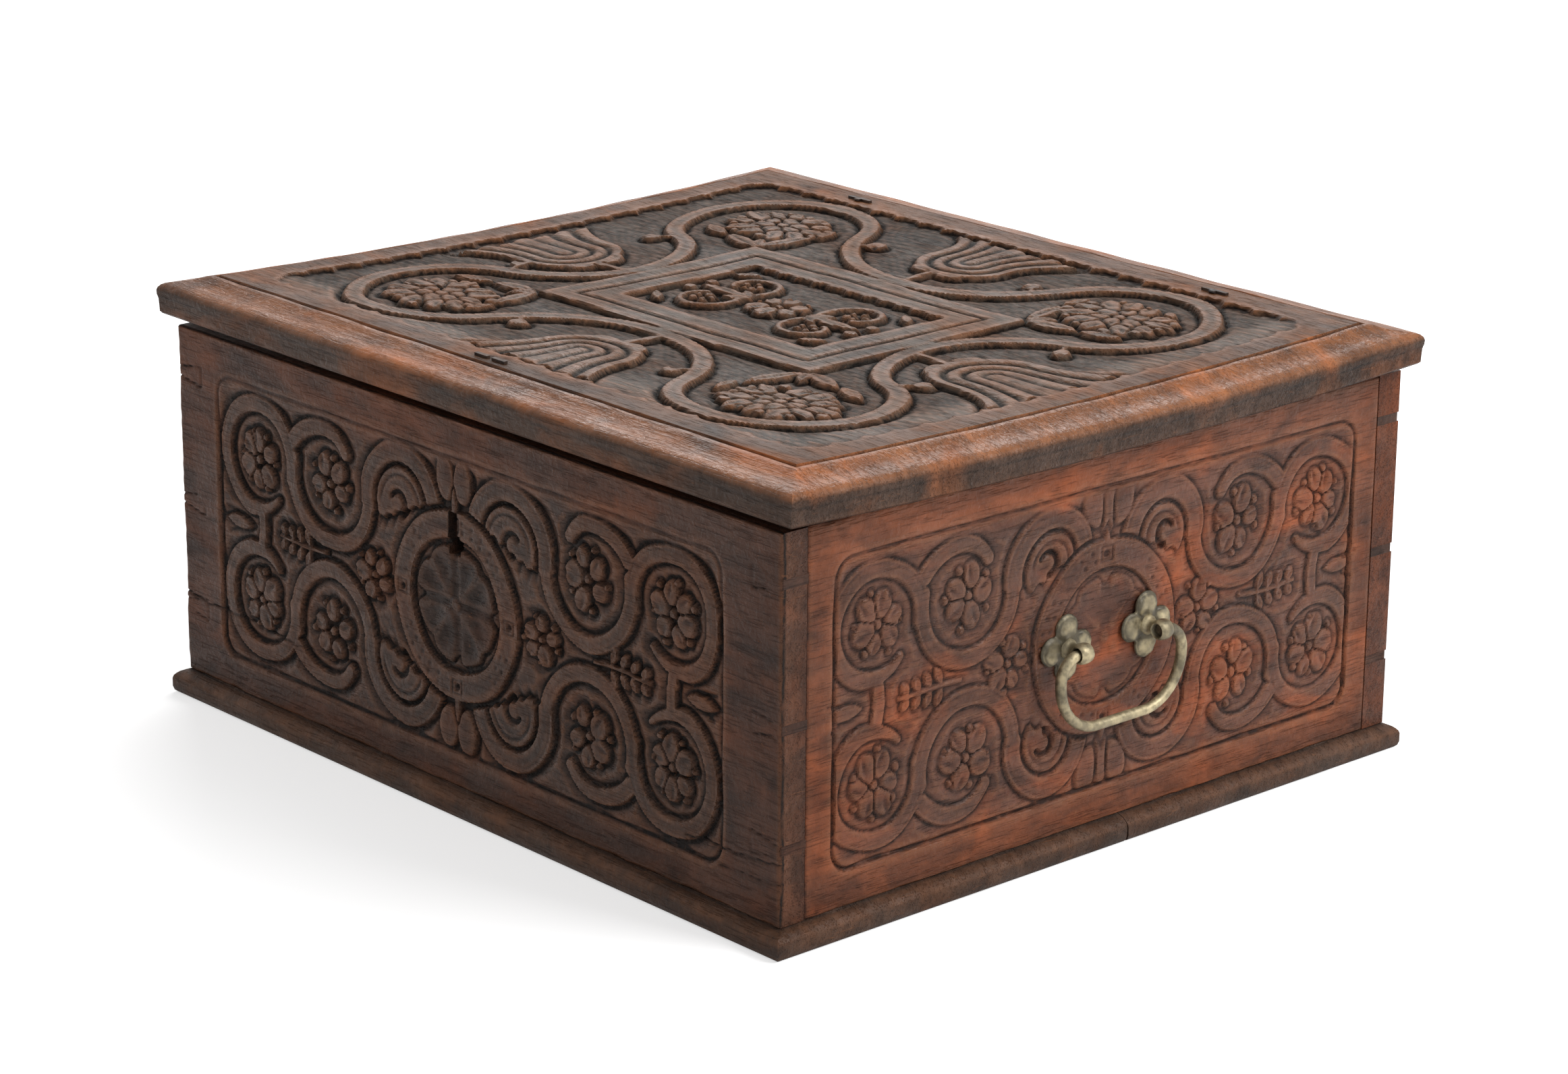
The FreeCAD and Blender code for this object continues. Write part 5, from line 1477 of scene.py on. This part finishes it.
def make_lid():
    """The lid: its carved top on a grid, its moulding as loops round it, the whole cupped."""
    carving = bpy.context.scene.coffer_carving
    half_x, half_y = LID_HALF_X - LID_FACE_INSET, LID_HALF_Y - LID_FACE_INSET
    xs, ys = (
        lines((-half, -fine, PLAIN_STEP), (-fine, fine, LID_STEP), (fine, half, PLAIN_STEP))
        for half, fine in zip((half_x, half_y), LID_FINE_HALF))
    x, y = np.meshgrid(xs, ys)
    height = lid_height(x, y, carving)
    recess, crest = wear_masks(height, 0.8)
    recess = np.maximum(recess, 0.55 * rise(-height, 0.9, 2.2))
    from_mark = np.hypot(x - STAPLE_MARK[0], (y - STAPLE_MARK[1]) * 1.5) + 2.0 * waver(x, y, 9.0, 1.0)
    recess = np.maximum(recess, 0.75 * bell(from_mark, STAPLE_MARK_RADIUS))
    # The moulding's field is its upright edge, below the roll, darkened there in part as painted shade.
    profile = tuple((inset - LID_FACE_INSET, z, dirt, worn_and_highlight, rise(-z, 6.2, 9.6))
                    for inset, z, dirt, worn_and_highlight in LID_PROFILE)
    masks = {"recess": recess, "crest": crest, "field": rise(-lid_field(x, y, carving), -6.0, 8.0)}
    points, faces, fields = carved_slab(xs, ys, height, profile, masks, 0.3)
    top_faces = (len(xs) - 1) * (len(ys) - 1)
    add_piece("lid_carved", points, faces, cupped, "lid", (oak_lid(), oak_lid_edge()),
              ("lid_board",), fields, second_from=top_faces)


# ---- Handles ----
# The right handle is drawn in the frame, about the axis that its bail turns on.
PIVOT_X = (BAIL_LOW[0] + BAIL_HIGH[0]) / 2
PIVOT_Z = (POST_LOW[2] + POST_HIGH[2]) / 2
POST_Y = (POST_LOW[1] + POST_HIGH[1]) / 2
LOBE_REACH = 10.2
PLATE_LOBE = 7.7
PLATE_NARROW = 11.2
PLATE_SIDES = 96
TURNED_SIDES = 40
BAIL_SIDES = 20
BAIL_ROD = (BAIL_HIGH[0] - BAIL_LOW[0]) / 2
BAIL_CORNER = 27.0
BAIL_SHOULDER = 13.0
BAIL_PIN = 2.65
# How far the rod falls short of its full radius: beside the eyes and along the grip.
ARM_SHORT = 0.15
GRIP_SHORT = 0.35


def turned_left(points):
    """The right handle turned half round, for the left end."""
    return np.column_stack([-points[:, 0], -points[:, 1], points[:, 2]])


def turned_profile(profile, axis_point, axis, closed=False):
    """A surface of revolution: each (along, radius) becomes a ring about the axis."""
    profile = np.asarray(profile, float)
    turn = np.linspace(0.0, 2 * math.pi, TURNED_SIDES, endpoint=False)
    ring_a = profile[:, 1:2] * np.cos(turn)
    ring_b = profile[:, 1:2] * np.sin(turn)
    along = np.repeat(profile[:, 0:1], TURNED_SIDES, axis=1)
    columns = [None, None, None]
    columns[axis] = along
    columns[(axis + 1) % 3] = ring_a
    columns[(axis + 2) % 3] = ring_b
    points = np.stack(columns, axis=-1).reshape(-1, 3) + np.asarray(axis_point)
    return points, tube_grid(len(profile), TURNED_SIDES, closed)


def plate_shell(side):
    """A cast back plate: a four-lobed disc whose lobes swell, worked out in rings from its middle.

    Its edge is the farthest point of the four lobe circles in each direction, and its height the larger
    of the lobes' domes and the hub's, rounded off towards the edge. It returns the wear masks as well.
    """
    turn = np.linspace(0.0, 2 * math.pi, PLATE_SIDES, endpoint=False)
    own = (turn + math.pi / 4) % (math.pi / 2) - math.pi / 4
    chord = np.sqrt(np.maximum(PLATE_LOBE ** 2 - (LOBE_REACH * np.sin(own)) ** 2, 0.0))
    edge = np.maximum(LOBE_REACH * np.cos(own) + chord, PLATE_NARROW)
    shares = np.concatenate([np.linspace(0.06, 0.9, 15), [0.95, 0.985, 1.0]])
    radius = shares[:, None] * edge
    y, z = radius * np.cos(turn), radius * np.sin(turn)
    fold_a, fold_b = folded_sector(y, z, 4, 0.0)
    lobe = np.hypot(fold_a - LOBE_REACH, fold_b) / PLATE_LOBE
    dome = 1.3 + 1.1 * np.sqrt(np.maximum(1.0 - np.minimum(lobe, 1.0) ** 2, 0.0))
    hub = 1.45 + 0.9 * bell(radius, 6.5)
    top = np.maximum(dome, hub) * rise(1.0 - shares[:, None], -0.05, 0.16) ** 0.5
    top = top + 0.38 * waver(y, z, 6.0, side)
    count = len(turn)
    front = np.stack([PLATE_FOOT + np.maximum(top, 0.3), y, z], axis=-1)
    back = np.stack([np.full(count, PLATE_FOOT + 0.02), y[-1], z[-1]], axis=-1)[None]
    points = np.concatenate([front, back]).reshape(-1, 3)
    points = points + np.array([0.0, side * POST_Y, PIVOT_Z])
    faces = tube_grid(len(shares) + 1, count)
    recess = np.zeros((len(shares) + 1, count))
    between_lobes = bell(lobe - 1.0, 0.22) * (radius < edge * 0.92)
    round_hub = 0.7 * bell(radius - 6.8, 1.4)
    recess[:-1] = np.clip(between_lobes + round_hub + 0.8 * bell(edge - radius, 0.8), 0.0, 1.0)
    crest = np.zeros_like(recess)
    crest[:-1] = bell(lobe, 0.6) * 0.6
    return points, faces, recess.ravel(), crest.ravel()


def make_handles():
    """Plates, posts and bails of both handles: the left one is the right one turned half round."""
    for name, place, body in (("right", as_drawn, "right_handle"), ("left", turned_left, "left_handle")):
        for side, end in ((-1, "front"), (1, "rear")):
            label = end if name == "right" else ("rear" if end == "front" else "front")
            points, faces, recess, crest = plate_shell(side)
            add_piece("%s_%s_rose" % (name, label), points, faces, place, "carcass", (brass(),),
                      ("handle_%s_%s_plate" % (name, label),), {"recess": recess, "crest": crest}, 60.0)
            add_post(name, label, side, place)
        add_bail(name, place, body)


def add_post(name, label, side, place):
    """A post: its flared neck, barrel-shaped eye with the bore through it, shank and rivet inside."""
    middle = np.array([0.0, side * POST_Y, PIVOT_Z])
    barrel = ((-3.9, 3.5), (-4.3, 4.1), (-3.6, 4.9), (-2.2, 5.3), (-0.8, 5.5), (0.8, 5.5), (2.2, 5.3),
              (3.6, 4.9), (4.3, 4.1), (3.9, 3.5), (2.6, 2.85), (-2.6, 2.85))
    eye = turned_profile(barrel, middle + (PIVOT_X, 0.0, 0.0), 1, True)
    neck = ((PLATE_FOOT + 0.6, 5.4), (PLATE_FOOT + 3.0, 5.2), (PLATE_FOOT + 3.8, 4.4),
            (PLATE_FOOT + 5.0, 3.7), (PLATE_FOOT + 7.2, 3.6), (PIVOT_X - 3.4, 4.1))
    stem = turned_profile(neck, middle, 0)
    rivet = ((POST_LOW[0] + 0.1, 2.2), (POST_LOW[0], 4.2), (POST_LOW[0] + 0.6, 5.0),
             (POST_LOW[0] + 1.8, 5.0), (POST_LOW[0] + 1.9, 2.4), (PLATE_FOOT + 0.7, 2.4))
    shank = turned_profile(rivet, middle, 0)
    points, faces = joined((eye, stem, shank))
    from_bore = np.linalg.norm(points[:, ::2] - (PIVOT_X, PIVOT_Z), axis=1)
    masks = {"recess": np.clip(3.9 - from_bore, 0.0, 1.0), "crest": np.full(len(points), 0.25)}
    add_piece("%s_%s_eye_post" % (name, label), points, faces, place, "carcass", (brass(),),
              ("handle_%s_%s_post" % (name, label),), masks, 50.0)


def bail_path():
    """The hanging bail's middle line in the YZ plane: pin, shoulder bend, arm, corner and grip."""
    arm = BAIL_HIGH[1] - BAIL_ROD
    bottom = BAIL_LOW[2] + BAIL_ROD
    pin_start = POST_Y - 2.0
    shoulder = arm - BAIL_SHOULDER
    turn = np.linspace(math.pi / 2, 0.0, 13)
    bend = np.column_stack([shoulder + BAIL_SHOULDER * np.cos(turn),
                            PIVOT_Z - BAIL_SHOULDER + BAIL_SHOULDER * np.sin(turn)])
    turn = np.linspace(0.0, -math.pi / 2, 19)
    corner = np.column_stack([arm - BAIL_CORNER + BAIL_CORNER * np.cos(turn),
                              bottom + BAIL_CORNER + BAIL_CORNER * np.sin(turn)])
    pin_line = np.column_stack([np.linspace(pin_start, shoulder, 9)[:-1], np.full(8, PIVOT_Z)])
    grip = np.column_stack([np.linspace(arm - BAIL_CORNER, 0.0, 9)[1:], np.full(8, bottom)])
    half = np.concatenate([pin_line, bend, corner, grip])
    return np.concatenate([half, half[-2::-1] * (-1.0, 1.0)])


def add_bail(name, place, body):
    """The bail: a rod swept along its line, slimmest in the eyes and full beside them."""
    path = bail_path()
    step = np.gradient(path, axis=0)
    step /= np.linalg.norm(step, axis=1, keepdims=True)
    inward = np.column_stack([-step[:, 1], step[:, 0]])
    beside = np.abs(path[:, 0]) - POST_Y
    hang = PIVOT_Z - path[:, 1]
    radius = BAIL_ROD - ARM_SHORT - (GRIP_SHORT - ARM_SHORT) * rise(hang, 12.0, 38.0)
    radius = np.where((hang < 0.5) & (beside < 4.6), BAIL_PIN, radius)
    turn = np.linspace(0.0, 2 * math.pi, BAIL_SIDES, endpoint=False)
    out = radius[:, None] * np.cos(turn)
    across = radius[:, None] * np.sin(turn)
    points = np.stack([
        PIVOT_X + across,
        path[:, :1] + inward[:, :1] * out,
        path[:, 1:] + inward[:, 1:] * out], axis=-1).reshape(-1, 3)
    faces = tube_grid(len(path), BAIL_SIDES)
    crest = np.repeat(bell(41.0 - hang, 9.0) * 0.6, BAIL_SIDES)
    recess = np.repeat((np.abs(beside) < 5.0) * (hang < 2.0) * 0.7, BAIL_SIDES)
    piece = add_piece(name + "_bail_rod", points, faces, place, body, (brass(),),
                      ("handle_%s_bail" % name,), {"recess": recess, "crest": crest}, 60.0)
    outwards(piece)


def outwards(piece):
    """Turns a closed piece's faces outwards where they point in, which its volume's sign shows."""
    mesh = piece.data
    places = np.empty(len(mesh.vertices) * 3)
    mesh.vertices.foreach_get("co", places)
    mesh.calc_loop_triangles()
    corners = np.empty(len(mesh.loop_triangles) * 3, dtype=np.int32)
    mesh.loop_triangles.foreach_get("vertices", corners)
    a, b, c = places.reshape(-1, 3)[corners.reshape(-1, 3)].transpose(1, 0, 2)
    if np.einsum("ij,ij->i", a, np.cross(b, c)).sum() < 0:
        mesh.flip_normals()


def make_ironwork():
    """Iron finish on the hinges, staples, nails and lock, which keep the frame's own shapes."""
    starts = ("hinge_", "lock_", "lid_lock", "bottom_nails")
    dress([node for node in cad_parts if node.startswith(starts)], iron())


# ---- Stage ----
FLOOR_RADIUS = 7.0
FLOOR_DROP = 0.0002
FLOOR_SIDES = 96
LAMP_TARGET = Vector((0.0, 0.0, 0.12))
# Each lamp's place and size, in metres.
KEY_LAMP = ((2.0, 0.9, 1.9), (1.3, 1.3))
BACK_LAMP = ((-1.6, 1.5, 1.7), (1.6, 1.0))


def add_lamp(name, place, size, watts):
    """A soft lamp, a lit rectangle aimed at the chest's middle."""
    lamp = bpy.data.lights.new(name, "AREA")
    lamp.shape = "RECTANGLE"
    lamp.size, lamp.size_y = size
    lamp.energy = watts
    stand = bpy.data.objects.new(name, lamp)
    stand.location = place
    stand.rotation_euler = (LAMP_TARGET - Vector(place)).to_track_quat("-Z", "Y").to_euler()
    bpy.context.scene.collection.objects.link(stand)


def seen_directly(tree):
    """1 for what the camera sees, also in a mirror or through glass, and 0 for light that falls on things."""
    rays = add_node(tree, "ShaderNodeLightPath").outputs
    direct = math_node(tree, "ADD", rays["Is Camera Ray"], rays["Is Glossy Ray"])
    return math_node(tree, "ADD", direct, rays["Is Transmission Ray"], True)


def make_floor():
    """A pale round floor that glows for the camera only."""
    turn = np.linspace(0.0, 2 * math.pi, FLOOR_SIDES, endpoint=False)
    ring = np.column_stack([
        FLOOR_RADIUS * np.cos(turn), FLOOR_RADIUS * np.sin(turn), np.full(FLOOR_SIDES, -FLOOR_DROP)])
    mesh = bpy.data.meshes.new("studio_floor")
    mesh.from_pydata(ring.tolist(), [], [list(range(FLOOR_SIDES))])
    floor = bpy.data.objects.new("studio_floor", mesh)
    bpy.context.scene.collection.objects.link(floor)
    material = bpy.data.materials.new("pale_floor")
    material.use_nodes = True
    tree = material.node_tree
    tree.nodes.remove(tree.nodes["Principled BSDF"])
    matt = add_node(tree, "ShaderNodeBsdfDiffuse", {"Color": (0.93, 0.93, 0.93, 1.0)})
    glow = add_node(tree, "ShaderNodeEmission", {"Color": (1.0, 1.0, 1.0, 1.0), "Strength": 0.55})
    dark = add_node(tree, "ShaderNodeEmission", {"Color": (0.0, 0.0, 0.0, 1.0), "Strength": 0.0})
    share = seen_directly(tree)
    seen = add_node(tree, "ShaderNodeMixShader", {0: share, 1: dark.outputs[0], 2: glow.outputs[0]})
    both = add_node(tree, "ShaderNodeAddShader", {0: matt.outputs[0], 1: seen.outputs[0]})
    tree.links.new(both.outputs[0], tree.nodes["Material Output"].inputs["Surface"])
    mesh.materials.append(material)


def make_surroundings(strength):
    """A white background that lights the chest less strongly than it shows."""
    world = bpy.data.worlds.new("studio")
    bpy.context.scene.world = world
    world.use_nodes = True
    tree = world.node_tree
    back = tree.nodes["Background"]
    back.inputs["Color"].default_value = (1.0, 1.0, 1.0, 1.0)
    tree.links.new(stepped(tree, seen_directly(tree), 0.0, 1.0, strength, 1.0), back.inputs["Strength"])


def make_camera(stage):
    """The camera: its back axis comes from the azimuth and the elevation, then it rolls about that."""
    view = bpy.data.cameras.new("camera")
    view.lens = stage.lens
    view.sensor_width = 36.0
    view.clip_end = 50.0
    az, el = stage.azimuth, stage.elevation
    back = Vector((math.sin(az) * math.cos(el), -math.cos(az) * math.cos(el), math.sin(el)))
    right = Vector((math.cos(az), math.sin(az), 0.0))
    up = back.cross(right)
    cr, sr = math.cos(stage.roll), math.sin(stage.roll)
    turned = Matrix((cr * right + sr * up, cr * up - sr * right, back)).transposed()
    stand = bpy.data.objects.new("camera", view)
    stand.matrix_world = Matrix.Translation(Vector(stage.place)) @ turned.to_4x4()
    bpy.context.scene.collection.objects.link(stand)
    bpy.context.scene.camera = stand


def make_stage():
    """Floor, surroundings, lamps and camera."""
    stage = bpy.context.scene.coffer_stage
    make_floor()
    make_surroundings(stage.sky)
    add_lamp("key_lamp", *KEY_LAMP, stage.key_power)
    add_lamp("back_lamp", *BACK_LAMP, stage.back_power)
    make_camera(stage)
    bpy.context.scene.view_settings.view_transform = "Standard"


# ---- Operators and panel ----
class COFFER_OT_front(bpy.types.Operator):
    """Carve the front board and finish the back"""

    bl_idname = "coffer.front"
    bl_label = "Front"

    def execute(self, context):
        make_front()
        return {"FINISHED"}


class COFFER_OT_ends(bpy.types.Operator):
    """Carve both end boards with their pins"""

    bl_idname = "coffer.ends"
    bl_label = "Ends"

    def execute(self, context):
        make_ends()
        return {"FINISHED"}


class COFFER_OT_base(bpy.types.Operator):
    """Shape the two bottom boards"""

    bl_idname = "coffer.base"
    bl_label = "Bottom boards"

    def execute(self, context):
        make_base()
        return {"FINISHED"}


class COFFER_OT_lid(bpy.types.Operator):
    """Carve and cup the lid"""

    bl_idname = "coffer.lid"
    bl_label = "Lid"

    def execute(self, context):
        make_lid()
        return {"FINISHED"}


class COFFER_OT_handles(bpy.types.Operator):
    """Cast the plates, posts and bails"""

    bl_idname = "coffer.handles"
    bl_label = "Handles"

    def execute(self, context):
        make_handles()
        return {"FINISHED"}


class COFFER_OT_ironwork(bpy.types.Operator):
    """Finish the hinges, the lock and the nails"""

    bl_idname = "coffer.ironwork"
    bl_label = "Ironwork"

    def execute(self, context):
        make_ironwork()
        return {"FINISHED"}


class COFFER_OT_stage(bpy.types.Operator):
    """Set the floor, the lamps and the camera"""

    bl_idname = "coffer.stage"
    bl_label = "Stage"

    def execute(self, context):
        make_stage()
        return {"FINISHED"}


STEPS = ("front", "ends", "base", "lid", "handles", "ironwork", "stage")


class COFFER_PT_panel(bpy.types.Panel):
    """Settings and steps of the coffer"""

    bl_idname = "COFFER_PT_panel"
    bl_label = "Carved coffer"
    bl_space_type = "VIEW_3D"
    bl_region_type = "UI"
    bl_category = "Coffer"

    def draw(self, context):
        """Lists every setting and every step."""
        for group in SETTINGS:
            settings = getattr(context.scene, group)
            box = self.layout.box()
            for name in settings.bl_rna.properties.keys():
                if name not in ("rna_type", "name"):
                    box.prop(settings, name)
        for step in STEPS:
            self.layout.operator("coffer." + step)


CLASSES = (
    CofferCarving, CofferWood, CofferMetal, CofferStage, COFFER_OT_front, COFFER_OT_ends, COFFER_OT_base,
    COFFER_OT_lid, COFFER_OT_handles, COFFER_OT_ironwork, COFFER_OT_stage, COFFER_PT_panel)


def register():
    """Adds the classes and the scene's settings."""
    for one in CLASSES:
        bpy.utils.register_class(one)
    for name, kind in SETTINGS.items():
        setattr(bpy.types.Scene, name, bpy.props.PointerProperty(type=kind))


def unregister():
    """Takes the settings and the classes away again."""
    for name in SETTINGS:
        delattr(bpy.types.Scene, name)
    for one in reversed(CLASSES):
        bpy.utils.unregister_class(one)


def main():
    """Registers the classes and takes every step."""
    register()
    for step in STEPS:
        getattr(bpy.ops.coffer, step)()


if __name__ == "__main__":
    main()
